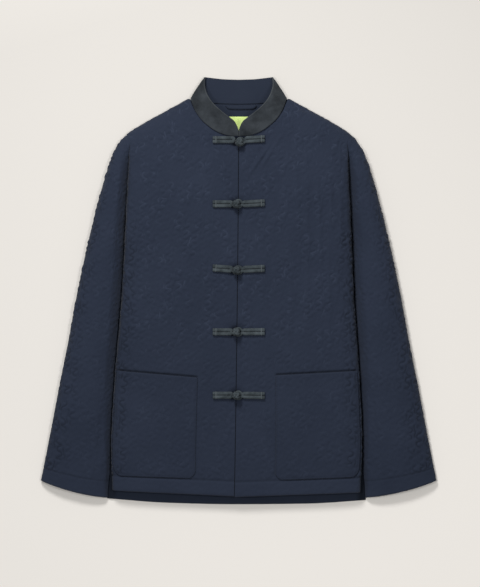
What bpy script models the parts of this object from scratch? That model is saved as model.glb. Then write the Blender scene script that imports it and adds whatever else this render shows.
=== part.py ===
"""Quilted tang jacket, closed at the front and laid flat on its back.

Metres, +Z up. The jacket lies on z = 0 with its collar towards +Y, and the origin is under
the middle of its outline. Left and right are the wearer's, so the left front is at +X.
Driving sizes and tables are in millimetres, and become metres where a mesh or curve is made.
"""

import math

import bmesh
import bpy
import numpy as np

MM = 0.001

# Cloth
QUILT_WALL = 2.4  # quilted cloth along its stitches
QUILT_RISE = 1.3  # puff of the padding between the stitches
BACK_WALL = 3.0
COLLAR_WALL = 1.6
LINING_WALL = 1.4
LABEL_WALL = 1.0
SEAM_GAP = 0.3
LANDING = BACK_WALL + SEAM_GAP  # height at which a front's side edge stands on the back

# Roll of the edges: exponent of the rounded sections, higher is squarer
SHOULDER_ROLL = 2.8
SIDE_ROLL = 4.0
SLEEVE_ROLL = 2.4
SLEEVE_FOLD_Z = 8.0  # height of a sleeve's folded edges
SLEEVE_CORNER = 8.0  # how far the fold rounds in before the sleeve lies flat
BACK_CLEARANCE = 0.5  # from the back to the underside of a sleeve beside it

# Hems and front edge
HEM_BAND = 28.0
HEM_LEAN = -4.0  # the body drifts this far sideways from armhole to hem
LEAN_TOP_Y, LEAN_LENGTH = 225.0, 587.0
FRONT_EDGE_DRIFT = -5.0  # and the front opening this far more
NECK_Y, FRONT_LENGTH = 250.0, 609.0

# Pockets, by columns of the front's grid
POCKET_FIRST, POCKET_LAST = 4, 13
POCKET_TOP_INNER, POCKET_TOP_OUTER = -149.0, -139.0
POCKET_BOTTOM = -329.0
POCKET_CORNER = 16.0
POCKET_WALL = 2.0
POCKET_CALM = 24.0  # no puff of the front this far above the mouth
POCKET_GAP = 0.5
POCKET_ROWS = 9  # from the mouth down to the corners
POCKET_CORNER_ROWS = (0.55, 0.2, 0)  # heights in the corners

# Frog closures, from the neck down: height of the bars, knot's place and drop of the loop's eye
FROGS = (
    (262.4, 2.4, -4.0, -2.4),
    (150.5, -5.0, 0.6, 0.3),
    (36.8, -4.9, -2.2, -1.2),
    (-71.8, -5.6, 0.0, 0.0),
    (-182.0, -4.9, 0.0, 0.0),
)
FROG_EYE_X = -0.5
FROG_REACH = 44.5  # from the middle to the end of a bar
FROG_CALM = 20.0  # no puff of the front this near a bar
CORD_RADIUS = 2.6
CORD_SPREAD = 2.9  # half the distance between the two runs of a bar
LOOP_RADIUS = 6.0
KNOT_RADIUS, KNOT_HALF_HEIGHT = 6.4, 5.2
KNOT_LIFT = 10.8  # knot's middle above the cloth

# Neck trimmings
HANGER_WIDTH, HANGER_HEIGHT = 5.5, 2.2
LABEL_SIZE = (50.0, 30.0)
LABEL_MIDDLE = (-1.0, 289.0)

FINE = 160  # steps along a section before it is cut into columns
PROBE = 0.4  # reach of the difference that gives a section's direction


class Table:
    """Rows of named columns. Values between rows follow a monotone cubic over the first column."""

    def __init__(self, columns, *rows):
        names = columns.split()
        self.key = names[0]
        self.columns = {name: np.array(v, float) for name, v in zip(names, zip(*rows))}

    def __call__(self, name, at):
        keys, values = self.columns[self.key], self.columns[name]
        at = np.clip(at, keys[0], keys[-1])
        step = np.diff(keys)
        slope = np.diff(values) / step
        turn = slope[:-1] * slope[1:]
        both = np.where(turn > 0, slope[:-1] + slope[1:], 1)
        bend = np.concatenate([slope[:1], np.where(turn > 0, 2 * turn / both, 0), slope[-1:]])
        i = np.clip(np.searchsorted(keys, at) - 1, 0, len(step) - 1)
        t = (at - keys[i]) / step[i]
        ends = values[i] * (1 + 2 * t) * (1 - t) ** 2 + values[i + 1] * t * t * (3 - 2 * t)
        return ends + step[i] * (bend[i] * t * (1 - t) ** 2 - bend[i + 1] * t * t * (1 - t))


# Crevice and armhole seam between body and sleeve: the body's edge, the gap to the sleeve, how far
# the back reaches past that gap, and how far the cloth is parted there, from 0 (unbroken shoulder)
# to 1 (body and sleeve apart)
SEAM = Table(
    "y      body   gap   tuck  parted",
    (-374, 215.6, 10.0, 1.0, 1.00),
    (-343, 216.0, 8.5, 1.0, 1.00),
    (-318, 216.8, 5.0, 1.0, 1.00),
    (-265, 218.4, 2.6, 1.0, 1.00),
    (-220, 216.8, 2.2, 1.0, 1.00),
    (-122, 210.6, 2.2, 1.0, 1.00),
    (-24, 202.6, 2.2, 1.0, 1.00),
    (24, 199.4, 2.0, 1.0, 1.00),
    (95, 196.6, 1.2, 1.0, 1.00),
    (150, 194.3, 0.5, 1.0, 1.00),
    (190, 192.6, 0.5, 1.0, 0.97),
    (226, 191.0, 0.5, 1.0, 0.70),
    (250, 190.0, 0.5, -0.5, 0.12),
    (260, 189.5, 0.5, -0.5, 0.00),
    (271.5, 195.8, 1.6, -1.6, 0.00),
)
SHOULDER_Y = 271.5  # where the armhole seam reaches the shoulder fold

# Outline of the whole jacket, from cuff over the shoulder to the neck
OUTLINE = Table(
    "y      x",
    (-334, 346.2),
    (-258, 331.0),
    (-174, 314.9),
    (-90, 298.0),
    (-6, 282.5),
    (78, 264.4),
    (162, 243.6),
    (204, 231.4),
    (225, 224.5),
    (249.4, 214.0),
    (263.4, 204.6),
    (271.5, 196.9),
    (277.4, 189.9),
    (291.4, 167.2),
    (305.4, 142.3),
    (319.4, 117.0),
    (326.4, 104.2),
    (333.4, 91.8),
    (338.4, 83.6),
)

# Height of the front over the middle, and of the shoulder fold at its edge
HEIGHT = Table(
    "y      middle fold",
    (-372, 23.0, 3.3),
    (-330, 25.0, 3.3),
    (-240, 28.5, 3.3),
    (-100, 32.0, 3.3),
    (0, 34.0, 8.0),
    (150, 34.0, 8.0),
    (226, 31.5, 7.0),
    (250, 30.0, 5.5),
    (266, 28.8, 4.0),
    (271.5, 28.4, 3.3),
    (300, 25.0, 3.3),
    (320, 18.5, 3.3),
    (332, 13.0, 3.3),
    (338, 9.0, 3.3),
)

# Sections of a front, from the hem (0) to the neck (1): inner edge on the opening and then
# round the neck, outer edge down the side, armhole and shoulder
FRONT = Table(
    "at     inner_x inner_y outer_y",
    (0.000, 0.0, -359.0, -349.0),
    (0.450, 0.0, -46.0, -44.0),
    (0.800, 0.0, 205.0, 196.0),
    (0.885, 0.0, 266.0, 247.0),
    (0.910, 14.0, 271.4, 260.0),
    (0.935, 35.0, 279.6, 267.0),
    (0.955, 50.0, 288.0, 272.0),
    (0.972, 63.5, 298.6, 288.0),
    (0.985, 73.5, 310.5, 305.5),
    (0.994, 80.0, 322.5, 321.0),
    (1.000, 85.0, 334.6, 335.0),
)
FRONT_ROWS = np.concatenate([np.linspace(0, 0.885, 33), FRONT.columns["at"][4:]])
FRONT_COLUMNS = np.concatenate([np.linspace(0, 0.295, 5), np.linspace(0.295, 0.94, 10)[1:], [0.97, 1]])
ROLL_COLUMNS = 3  # columns on the roll of the side, which lie too close to the sleeve to puff

# A front is one cut of cloth. Its solid is parted along a row and a column of its grid, so that
# collision can stay clear of the hollow under it: lower part, chest, and the roll down the side
FRONT_PARTS = (
    ("", slice(0, 24), slice(0, 11)),
    ("_chest", slice(23, None), slice(0, 11)),
    ("_side", slice(0, None), slice(10, None)),
)

# Sections of a sleeve, from the shoulder (0) to the cuff (1): bow curves the section towards
# the cuff, and closed brings the underarm seam together
SLEEVE = Table(
    "at    inner_y outer_y height bow  closed",
    (0.000, 268.3, 269.0, 9.0, 0.0, 0.0),
    (0.020, 260.0, 262.0, 13.0, 0.0, 0.0),
    (0.045, 250.0, 250.0, 18.0, 0.0, 0.0),
    (0.080, 226.0, 227.0, 21.5, 0.0, 0.0),
    (0.140, 190.0, 191.0, 24.0, 0.0, 0.0),
    (0.210, 145.0, 147.0, 25.5, 0.0, 0.0),
    (0.290, 95.0, 98.0, 26.0, 0.0, 1.0),
    (0.450, 0.0, 4.0, 26.5, 0.0, 1.0),
    (0.620, -100.0, -94.0, 26.0, 0.0, 1.0),
    (0.840, -240.0, -226.0, 24.0, 1.5, 1.0),
    (0.950, -322.0, -301.0, 20.0, 4.0, 1.0),
    (1.000, -362.0, -332.5, 17.0, 6.0, 1.0),
)
SLEEVE_ROWS = np.concatenate([[0, 0.02, 0.045, 0.08, 0.11], np.linspace(0.14, 1, 25)])
SLEEVE_TOP, SLEEVE_OUTER, SLEEVE_FLAT, SLEEVE_INNER = 10, 3, 2, 2  # columns of each stretch

# Largest creases pressed into the upper cloth, on each side: ends, depth and half width
CREASES = (
    (224.0, -150.0, 243.0, -300.0, 2.4, 9.0),
    (206.0, 120.0, 226.0, 0.0, 1.6, 10.0),
    (30.0, 236.0, 74.0, 262.0, 1.2, 10.0),
)

# Collar, from its front end round to the middle of the back: seam side and top edge
COLLAR = Table(
    "at   seam_x seam_y seam_z top_x top_y top_z",
    (0, 0.6, 270.2, 31.0, 1.0, 281.5, 32.5),
    (1, 5.0, 270.8, 31.0, 4.2, 291.0, 33.5),
    (2, 10.0, 272.0, 30.9, 9.5, 298.5, 34.2),
    (3, 18.0, 274.6, 30.7, 16.6, 303.5, 34.4),
    (4, 28.0, 279.0, 30.3, 25.0, 308.8, 34.0),
    (5, 41.5, 287.0, 29.4, 34.6, 317.5, 32.6),
    (6, 55.0, 296.6, 28.0, 43.2, 330.0, 30.0),
    (7, 66.0, 307.4, 25.4, 49.6, 342.0, 26.2),
    (8, 74.6, 319.6, 20.6, 53.8, 355.5, 20.6),
    (9, 79.8, 331.0, 14.2, 56.6, 366.5, 14.0),
    (10, 82.0, 338.2, 7.8, 58.6, 372.6, 7.8),
    (11, 77.6, 335.4, 3.0, 55.4, 372.6, 2.6),
    (12, 62.6, 330.4, 1.9, 45.0, 371.4, 1.9),
    (13, 34.0, 326.7, 1.9, 25.0, 369.4, 1.9),
    (14, 0.0, 325.7, 1.9, 0.0, 368.6, 1.9),
)
COLLAR_STEPS = 3

# Back: hem and the neck edge across the half width
BACK_HEM = Table("x  y", (0, -373.4), (120, -371.4), (226, -363.5))
BACK_NECK = Table("x  y", (0, 325.0), (34, 325.9), (60, 328.2), (74, 330.4), (82, 333.0), (90, 334.6))
BACK_COLUMNS = (0, 0.2, 0.34, 0.4494, 0.6, 0.75, 0.88, 1)
BACK_ROWS = (-363.5, -318, -265, -220, -122, -24, 95, 150, 190, 226, 250, 260, SHOULDER_Y)  # down its side edge

# Hanger loop at the neck: middle line of the strap
HANGER = ((-21.0, 324.0), (-19.0, 321.5), (-15.0, 319.7), (4.0, 319.2), (23.0, 319.7), (27.5, 321.5), (29.5, 324.0))

COLOURS = {
    "navy": (0.024, 0.031, 0.052),
    "charcoal": (0.041, 0.048, 0.052),
    "lime": (0.64, 0.84, 0.24),
}


def material(name):
    made = bpy.data.materials.get(name) or bpy.data.materials.new(name)
    made.use_nodes = True
    shader = made.node_tree.nodes["Principled BSDF"]
    shader.inputs["Base Color"].default_value = (*COLOURS[name], 1)
    shader.inputs["Roughness"].default_value = 0.85
    shader.inputs["Metallic"].default_value = 0
    return made


def lean(y):
    """Sideways drift of the body, from the armhole down to the hem."""
    return HEM_LEAN * np.clip((LEAN_TOP_Y - y) / LEAN_LENGTH, 0, 1)


def rounded(reach, exponent):
    """Height share of a rounded section, 1 over its middle and 0 at its edge."""
    return (1 - np.clip(reach, 0, 1) ** exponent) ** (1 / exponent)


def dome(x, y):
    """Height of the unbroken cloth from the front's middle out to the shoulder and sleeve fold."""
    fold = HEIGHT("fold", y)
    return fold + (HEIGHT("middle", y) - fold) * rounded(x / OUTLINE("x", y), SHOULDER_ROLL)


def creased(x, y):
    """Depth of the pressed creases at a point of the upper cloth."""
    depth = np.zeros_like(x)
    for x0, y0, x1, y1, deep, width in CREASES:
        run = np.array([x1 - x0, y1 - y0])
        share = ((x - x0) * run[0] + (y - y0) * run[1]) / (run @ run)
        off = ((x - x0) * run[1] - (y - y0) * run[0]) / np.hypot(*run)
        fade = np.clip(1 - (2 * share - 1) ** 2, 0, None)
        depth = depth + deep * fade * np.exp(-((off / width) ** 2))
    return depth


def body_edge(y):
    """Outer edge of a front: the side, the armhole and then the shoulder fold."""
    return np.where(y < SHOULDER_Y, SEAM("body", y), OUTLINE("x", y))


def sleeve_edge(y):
    return SEAM("body", y) + SEAM("gap", y)


def back_edge(y):
    """Outer edge of the back, which closes the gap between front and sleeve from below."""
    return sleeve_edge(y) + SEAM("tuck", y)


def front_section(side, at):
    """Fine points of one front section, from the opening or neck to the outer edge."""
    inner_y, outer_y = FRONT("inner_y", at), FRONT("outer_y", at)
    drift = FRONT_EDGE_DRIFT * np.clip((NECK_Y - inner_y) / FRONT_LENGTH, 0, 1)
    inner_x = FRONT("inner_x", at) + SEAM_GAP / 2 + side * (lean(inner_y) + drift)
    outer_x = body_edge(outer_y) + side * lean(outer_y)
    share = 1 - (1 - np.linspace(0, 1, FINE)) ** 2.5
    x = inner_x + share * (outer_x - inner_x)
    y = inner_y + share * (outer_y - inner_y)
    parted = SEAM("parted", y)
    side_roll = LANDING + (HEIGHT("middle", y) - LANDING) * rounded(share, SIDE_ROLL)
    z = (1 - parted) * dome(x, y) + parted * side_roll
    calm = np.clip((1 - share) / 0.1, 0, 1)
    return np.column_stack([x, y, z - calm * creased(x, y)])


def sleeve_section(side, at):
    """Fine stretches of one sleeve section: over the top, round the outer fold, under, and up."""
    inner_y, outer_y, bow = SLEEVE("inner_y", at), SLEEVE("outer_y", at), SLEEVE("bow", at)
    inner_x = sleeve_edge(inner_y) + side * lean(inner_y)
    outer_x = OUTLINE("x", outer_y)

    def laid(share, z):
        x = inner_x + share * (outer_x - inner_x)
        y = inner_y + share * (outer_y - inner_y) - 4 * bow * share * (1 - share)
        return np.column_stack([x, y, z])

    share = 0.5 - 0.5 * np.cos(np.linspace(0, math.pi, FINE))
    plan = laid(share, share)
    parted = SEAM("parted", plan[:, 1])
    puffed = rounded(np.abs(2 * share - 1), SLEEVE_ROLL)
    tube = SLEEVE_FOLD_Z + (SLEEVE("height", at) - SLEEVE_FOLD_Z) * puffed
    z = (1 - parted) * dome(plan[:, 0], plan[:, 1]) + parted * tube
    z = z - np.clip(4 * puffed - 2.4, 0, 1) * creased(plan[:, 0], plan[:, 1])
    top = laid(share, z)
    corner = min(SLEEVE_CORNER, 0.4 * (outer_x - inner_x)) / (outer_x - inner_x)
    turn = np.linspace(0, math.pi / 2, FINE // 4)
    outer = laid(1 - corner * (1 - np.cos(turn)), z[-1] * (1 - np.sin(turn)))
    flat = laid(np.array([1 - corner, corner]), np.zeros(2))
    closed = SLEEVE("closed", at)
    beside_back = max(0, SEAM("tuck", inner_y) + BACK_CLEARANCE) / (outer_x - inner_x)
    beside_back *= min(1, 2 * (1 - closed))
    rise = closed * (SLEEVE_FOLD_Z - SEAM_GAP)
    inner = laid(beside_back + (corner - beside_back) * (1 - np.sin(turn)), rise * (1 - np.cos(turn)))
    return top, outer, flat, inner


def along(points):
    return np.concatenate([[0], np.cumsum(np.linalg.norm(np.diff(points, axis=0), axis=1))])


def cut(points, places):
    """Points and directions at these distances along a fine section."""
    distance = along(points)

    def at(place):
        place = np.clip(place, 0, distance[-1])
        return np.column_stack([np.interp(place, distance, points[:, k]) for k in range(3)])

    return at(places), at(places + PROBE) - at(places - PROBE)


def outward(points, directions):
    """Unit normals of a grid, from its sections' directions and the step between sections."""
    normals = np.cross(directions, np.gradient(points, axis=0))
    return normals / np.linalg.norm(normals, axis=2, keepdims=True)


def front_grid(side):
    rows = []
    for at in FRONT_ROWS:
        fine = front_section(side, at)
        rows.append(cut(fine, FRONT_COLUMNS * along(fine)[-1]))
    points = np.array([row[0] for row in rows])
    return points, outward(points, np.array([row[1] for row in rows]))


def sleeve_grid(side):
    rows = []
    for at in SLEEVE_ROWS:
        stretches = sleeve_section(side, at)
        ends = np.cumsum([0] + [along(stretch)[-1] for stretch in stretches])
        steps = (SLEEVE_TOP, SLEEVE_OUTER, SLEEVE_FLAT, SLEEVE_INNER)
        places = [np.linspace(a, b, n + 1)[1:] for a, b, n in zip(ends, ends[1:], steps)]
        fine = np.concatenate([stretches[0]] + [stretch[1:] for stretch in stretches[1:]])
        rows.append(cut(fine, np.concatenate([[0], *places])))
    points = np.array([row[0] for row in rows])
    return points, -outward(points, np.array([row[1] for row in rows]))


def puffs(shape):
    """Staggered quilting: every second point of a grid stands up, and its border stays down."""
    row, column = np.indices(shape)
    rise = np.where((row + column) % 2 == 0, QUILT_RISE, 0.0)
    rise[[0, -1], :] = 0
    rise[:, [0, -1]] = 0
    return rise


def build_wall(name, outer, inner, colour, side=1):
    """Closed wall between two grids of points. Its diagonals run along the low points of the quilting."""
    rows, columns = outer.shape[:2]
    mesh = bmesh.new()
    scale = np.array([side, 1, 1]) * MM
    layers = [[mesh.verts.new(p) for p in grid.reshape(-1, 3) * scale] for grid in (outer, inner)]
    for layer in layers:
        for i in range(rows - 1):
            for j in range(columns - 1):
                a, b = layer[i * columns + j], layer[i * columns + j + 1]
                d, c = layer[(i + 1) * columns + j], layer[(i + 1) * columns + j + 1]
                halves = ((a, b, d), (b, c, d)) if (i + j) % 2 == 0 else ((a, b, c), (a, c, d))
                for corners in halves:
                    mesh.faces.new(corners)
    rim = [(0, j) for j in range(columns)] + [(i, columns - 1) for i in range(1, rows)]
    rim += [(rows - 1, j) for j in range(columns - 2, -1, -1)] + [(i, 0) for i in range(rows - 2, 0, -1)]
    for (i, j), (k, m) in zip(rim, rim[1:] + rim[:1]):
        p, q = i * columns + j, k * columns + m
        mesh.faces.new((layers[0][p], layers[0][q], layers[1][q], layers[1][p]))
    bmesh.ops.recalc_face_normals(mesh, faces=mesh.faces)
    return add_mesh(name, mesh, colour)


def add_mesh(name, mesh, colour):
    data = bpy.data.meshes.new(name)
    mesh.to_mesh(data)
    mesh.free()
    data.materials.append(material(colour))
    return link(bpy.data.objects.new(name, data))


def link(made):
    JACKET.objects.link(made)
    return made


def build_front(side, name):
    points, normals = front_grid(side)
    rise = puffs(points.shape[:2])
    x, y = points[:, :, 0], points[:, :, 1]
    rise[y < points[0, :, 1] + HEM_BAND] = 0
    rise[:, -ROLL_COLUMNS:] = 0
    columns = np.arange(points.shape[1])
    covered = (columns >= POCKET_FIRST - 1) & (columns <= POCKET_LAST + 1)
    rise[covered & (y < POCKET_TOP_OUTER + POCKET_CALM)] = 0
    for frog_y, *_ in FROGS:
        rise[(np.abs(y - frog_y) < FROG_CALM) & (x < FROG_REACH + FROG_CALM)] = 0
    inner = points - QUILT_WALL * normals
    inner[:, :, 2] = np.maximum(inner[:, :, 2], LANDING)
    outer = points + rise[:, :, None] * normals
    for part, rows, columns in FRONT_PARTS:
        walls = [part_of(grid, rows, columns) for grid in (outer, inner)]
        build_wall(name + part, *walls, "navy", side)
    return points, normals


def part_of(grid, rows, columns):
    """Part of a grid, drawn back by half a seam gap where it was cut from the rest."""
    part = grid[rows, columns].copy()
    cuts = (
        (rows.start, part[0], part[1]),
        (rows.stop, part[-1], part[-2]),
        (columns.start, part[:, 0], part[:, 1]),
        (columns.stop, part[:, -1], part[:, -2]),
    )
    for place, edge, behind in cuts:
        if place:
            away = behind - edge
            edge += away * SEAM_GAP / 2 / np.linalg.norm(away, axis=-1, keepdims=True)
    return part


def build_pocket(side, name, front):
    """Patch pocket on the front's own points, with a slanted mouth and rounded lower corners."""
    points, normals = front
    wide = POCKET_LAST - POCKET_FIRST
    places = np.linspace(0, 1, wide + 1)
    mouth = POCKET_TOP_INNER + places * (POCKET_TOP_OUTER - POCKET_TOP_INNER)
    low = POCKET_BOTTOM + POCKET_CORNER
    rows = [mouth + share * (low - mouth) for share in np.linspace(0, 1, POCKET_ROWS)]
    rows += [np.full(wide + 1, POCKET_BOTTOM + share * POCKET_CORNER) for share in POCKET_CORNER_ROWS]
    outer, inner = [], []
    for levels in rows:
        above = min(levels[0] - POCKET_BOTTOM, POCKET_CORNER)
        inset = POCKET_CORNER - math.sqrt(POCKET_CORNER**2 - (POCKET_CORNER - above) ** 2)
        column_width = np.linalg.norm(points[8, POCKET_FIRST + 1] - points[8, POCKET_FIRST])
        columns = np.clip(np.arange(wide + 1), inset / column_width, wide - inset / column_width)
        columns = POCKET_FIRST + columns
        place = np.array([on_grid(points, c, y) for c, y in zip(columns, levels)])
        normal = np.array([on_grid(normals, c, y, points) for c, y in zip(columns, levels)])
        inner.append(place + POCKET_GAP * normal)
        outer.append(place + (POCKET_GAP + POCKET_WALL) * normal)
    outer, inner = np.array(outer), np.array(inner)
    normal = (outer - inner) / POCKET_WALL
    rise = puffs(outer.shape[:2])
    rise[-4:] = 0
    build_wall(name, outer + rise[:, :, None] * normal, inner, "navy", side)


def on_grid(values, column, y, points=None):
    """Value of a grid on one of its column lines, at height y of its points."""
    points = values if points is None else points
    left = int(min(column, values.shape[1] - 2))
    share = column - left
    path = points[:, left] * (1 - share) + points[:, left + 1] * share
    line = values[:, left] * (1 - share) + values[:, left + 1] * share
    return np.array([np.interp(y, path[:, 1], line[:, k]) for k in range(3)])


def build_sleeve(side, name):
    points, normals = sleeve_grid(side)
    rise = puffs(points.shape[:2])
    rise[:, SLEEVE_TOP:] = 0
    rise[:5] = 0
    rise[-2:] = 0
    build_wall(name, points + rise[:, :, None] * normals, points - QUILT_WALL * normals, "navy", side)


def build_back():
    """Back panel, flat on the surface from hem to shoulder and neck."""
    half = np.array(BACK_COLUMNS)
    shares = np.concatenate([-half[:0:-1], half])
    shoulder_x = float(back_edge(SHOULDER_Y))
    rows = []
    for level in BACK_ROWS:
        up = (level - BACK_ROWS[0]) / (BACK_ROWS[-1] - BACK_ROWS[0])
        row = []
        for share in shares:
            across = abs(share) * shoulder_x
            outline = OUTLINE.columns
            shoulder = np.interp(-across, -outline["x"], outline["y"])
            top = min(BACK_NECK("y", across), shoulder)
            foot = BACK_HEM("y", abs(share) * back_edge(BACK_ROWS[0]))
            y = foot + up * (top - foot)
            row.append((share * float(back_edge(y)) + lean(y), y, BACK_WALL))
        rows.append(row)
    outer = np.array(rows)
    build_wall("back", outer, outer * (1, 1, 0), "navy")


def collar_walls():
    """Grid through the middle of the collar's thickness, all round, and its outward normals."""
    half = COLLAR.columns["at"]
    rows = []
    for side, places in ((1, half), (-1, half[-2::-1])):
        for at in places:
            seam = np.array([COLLAR("seam_" + axis, at) for axis in "xyz"])
            top = np.array([COLLAR("top_" + axis, at) for axis in "xyz"])
            shares = np.linspace(0, 1, COLLAR_STEPS + 1)[:, None]
            rows.append((seam + shares * (top - seam)) * (side, 1, 1))
    points = np.array(rows)
    normals = np.cross(np.gradient(points, axis=0), np.gradient(points, axis=1))
    return points, normals / np.linalg.norm(normals, axis=2, keepdims=True)


def build_collar():
    points, normals = collar_walls()
    outside, inside = SEAM_GAP / 2 * normals, -SEAM_GAP / 2 * normals
    build_wall("collar", points + outside + COLLAR_WALL * normals, points + outside, "charcoal")
    build_wall("collar_lining", points + inside, points + inside - LINING_WALL * normals, "navy")


def build_hanger():
    """Strap of the hanger loop, lying on the back below the neck seam."""
    line = np.array(HANGER)
    way = np.gradient(line, axis=0)
    way /= np.linalg.norm(way, axis=1, keepdims=True)
    across = np.column_stack([-way[:, 1], way[:, 0]])
    widths, lifts = (-0.5, -0.3, 0, 0.3, 0.5), (0.5, 0.9, 1, 0.9, 0.5)
    plan = np.stack([line + HANGER_WIDTH * width * across for width in widths], axis=1)
    floor = np.dstack([plan, np.full(plan.shape[:2], LANDING)])
    top = floor + np.array(lifts)[None, :, None] * (0, 0, HANGER_HEIGHT)
    build_wall("hanger_loop", top, floor, "navy")


def build_label():
    mesh = bmesh.new()
    bmesh.ops.create_cube(mesh, size=MM)
    bmesh.ops.scale(mesh, vec=(*LABEL_SIZE, LABEL_WALL), verts=mesh.verts)
    label = add_mesh("neck_label", mesh, "lime")
    label.location = np.array([*LABEL_MIDDLE, LANDING + LABEL_WALL / 2]) * MM


def turn(middle, radius, first, last, steps):
    """Arc of a cord round a point, by angles in degrees."""
    angles = np.radians(np.linspace(first, last, steps))
    return [(middle[0] + radius * math.cos(a), middle[1] + radius * math.sin(a)) for a in angles]


def build_cord(name, path, seat):
    """Closed cord of a frog bar, flat in its own plane and seated on the front."""
    curve = bpy.data.curves.new(name, "CURVE")
    curve.dimensions = "3D"
    curve.bevel_depth = CORD_RADIUS * MM
    curve.bevel_resolution = 1
    spline = curve.splines.new("POLY")
    spline.points.add(len(path) - 1)
    spline.use_cyclic_u = True
    for point, (x, y) in zip(spline.points, path):
        point.co = (x * MM, y * MM, CORD_RADIUS * MM, 1)
    curve.materials.append(material("charcoal"))
    cord = link(bpy.data.objects.new(name, curve))
    cord.parent = seat


def build_knot(name, place, seat):
    mesh = bmesh.new()
    bmesh.ops.create_uvsphere(mesh, u_segments=10, v_segments=6, radius=MM)
    bmesh.ops.scale(mesh, vec=(KNOT_RADIUS, KNOT_RADIUS, KNOT_HALF_HEIGHT), verts=mesh.verts)
    knot = add_mesh(name, mesh, "charcoal")
    knot.data.shade_smooth()
    knot.parent = seat
    knot.location = np.array([*place, KNOT_LIFT]) * MM


def build_frog(number, y, knot_x, knot_y, eye_y):
    """One closure: a doubled cord on the right front, a doubled loop on the left, and the knot."""
    seat = link(bpy.data.objects.new(f"frog_{number}_seat", None))
    seat.location = (0, y * MM, float(HEIGHT("middle", y) + SEAM_GAP) * MM)
    seat.rotation_euler.x = math.atan((HEIGHT("middle", y + 10) - HEIGHT("middle", y - 10)) / 20)
    ring = math.degrees(math.asin(CORD_SPREAD / LOOP_RADIUS))
    bar_end = FROG_REACH - CORD_RADIUS - CORD_SPREAD
    loop = turn((FROG_EYE_X, eye_y), LOOP_RADIUS, ring, 360 - ring, 10)
    loop += turn((bar_end, 0), CORD_SPREAD, -90, 90, 5)
    tail_end = FROG_EYE_X - LOOP_RADIUS - 2 * CORD_RADIUS - SEAM_GAP - CORD_SPREAD
    tail = turn((tail_end, 0), CORD_SPREAD, -90, 90, 5)
    tail += turn((-bar_end, 0), CORD_SPREAD, 90, 270, 5)
    build_cord(f"frog_{number}_loop", loop, seat)
    build_cord(f"frog_{number}_tail", tail, seat)
    build_knot(f"frog_{number}_knot", (knot_x, knot_y), seat)


for old in list(bpy.data.objects):
    bpy.data.objects.remove(old)
JACKET = bpy.data.collections.new("quilted_tang_jacket")
bpy.context.scene.collection.children.link(JACKET)

build_back()
for wearer_side, side_name in ((1, "left"), (-1, "right")):
    laid_front = build_front(wearer_side, f"front_{side_name}")
    build_pocket(wearer_side, f"pocket_{side_name}", laid_front)
    build_sleeve(wearer_side, f"sleeve_{side_name}")
build_collar()
build_hanger()
build_label()
for frog_number, frog in enumerate(FROGS, 1):
    build_frog(frog_number, *frog)
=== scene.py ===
"""Looks of the quilted tang jacket, laid flat on its back and seen from straight above.

Sizes and tables are in millimetres, in the frame of the solids, and become metres where a mesh
is made. Left and right are the wearer's, so the left front is at +X.
"""

import itertools
import math

import bpy
import numpy as np
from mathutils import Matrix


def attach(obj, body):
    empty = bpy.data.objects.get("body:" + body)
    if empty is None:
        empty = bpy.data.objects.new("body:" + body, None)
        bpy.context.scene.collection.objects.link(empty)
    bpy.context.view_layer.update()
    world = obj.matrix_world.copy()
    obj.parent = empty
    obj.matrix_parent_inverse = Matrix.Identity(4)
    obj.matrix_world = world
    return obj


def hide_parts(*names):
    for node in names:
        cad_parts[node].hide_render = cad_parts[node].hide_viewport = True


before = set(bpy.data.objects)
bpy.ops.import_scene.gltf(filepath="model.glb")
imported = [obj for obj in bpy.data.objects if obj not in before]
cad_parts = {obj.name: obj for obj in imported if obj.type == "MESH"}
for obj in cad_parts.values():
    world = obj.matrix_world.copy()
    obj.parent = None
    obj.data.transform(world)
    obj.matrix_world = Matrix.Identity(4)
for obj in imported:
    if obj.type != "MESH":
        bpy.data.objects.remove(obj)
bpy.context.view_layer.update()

MM = 0.001
PITCH = 1.5  # spacing of the fine grids

# Cloth
QUILT_WALL = 2.4
QUILT_RISE = 0.75  # puff of the padding between the stitches
QUILT_SOFTNESS = 2.3  # how far from a stitch line the cloth has nearly its full puff
CHEST_PUFF = 0.5  # gain of the puff on the chest, where the cloth is taut
CHEST_RISE = (-140.0, -40.0)  # heights between which that gain sets in
STRONG_GAIN = 1.4  # gain of the quilting near the sides
# Patches of the quilting: size, and unevenness between which they set in
STRONG_PATCH, SOFT_PATCH, STROKE_PATCH = (21.0, -0.6, 0.3), (34.0, -0.45, 0.35), (12.0, 0.0, 0.3)
PAINTED_HIGHLIGHT_STROKES = 0.7  # strength of the painted highlight on the stitch lines
MARK_WIDTH, MARK_LIMIT = 0.9, 2.4  # half width of a painted stitch line, and greatest strength of a line of painted shade
PAINTED_SHADE_START, PAINTED_SHADE_GROWTH = 0.75, 1.1  # strength of a stitch line's painted shade, and how it grows with the quilting's
CRINKLE, CRINKLE_SIZE = 0.45, 6.5  # small unevenness of the padded cloth
HEM_PAINTED_LIGHT = 0.3  # the unquilted hem is painted lighter by this, a painted highlight
HEM_FADE = 3.0  # the quilting sets in over this length from the hem stitching
OPENING_FADE, SIDE_FADE = (1.0, 5.0), 7.0  # and so from the opening and from the side
SIDE_QUILT, SIDE_QUILT_TOP = (34.0, 12.0), (200.0, 60.0)  # where it is strong, in from the side and up
BACK_WALL = 3.0
BACK_TAPER, TAPER_WIDTH = 1.8, 5.0  # the back thins by this at its sides and neck
CREVICE_PAINTED_SHADE = (16.0, 11.0)  # its sides are painted dark within these distances, painted shade in the crevice beside the sleeves
BACK_SIDE_Y = -363.5  # lower end of its sides
COLLAR_WALL = 1.6
LINING_WALL = 1.4
SEAM_GAP = 0.3
LANDING = BACK_WALL + SEAM_GAP
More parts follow.
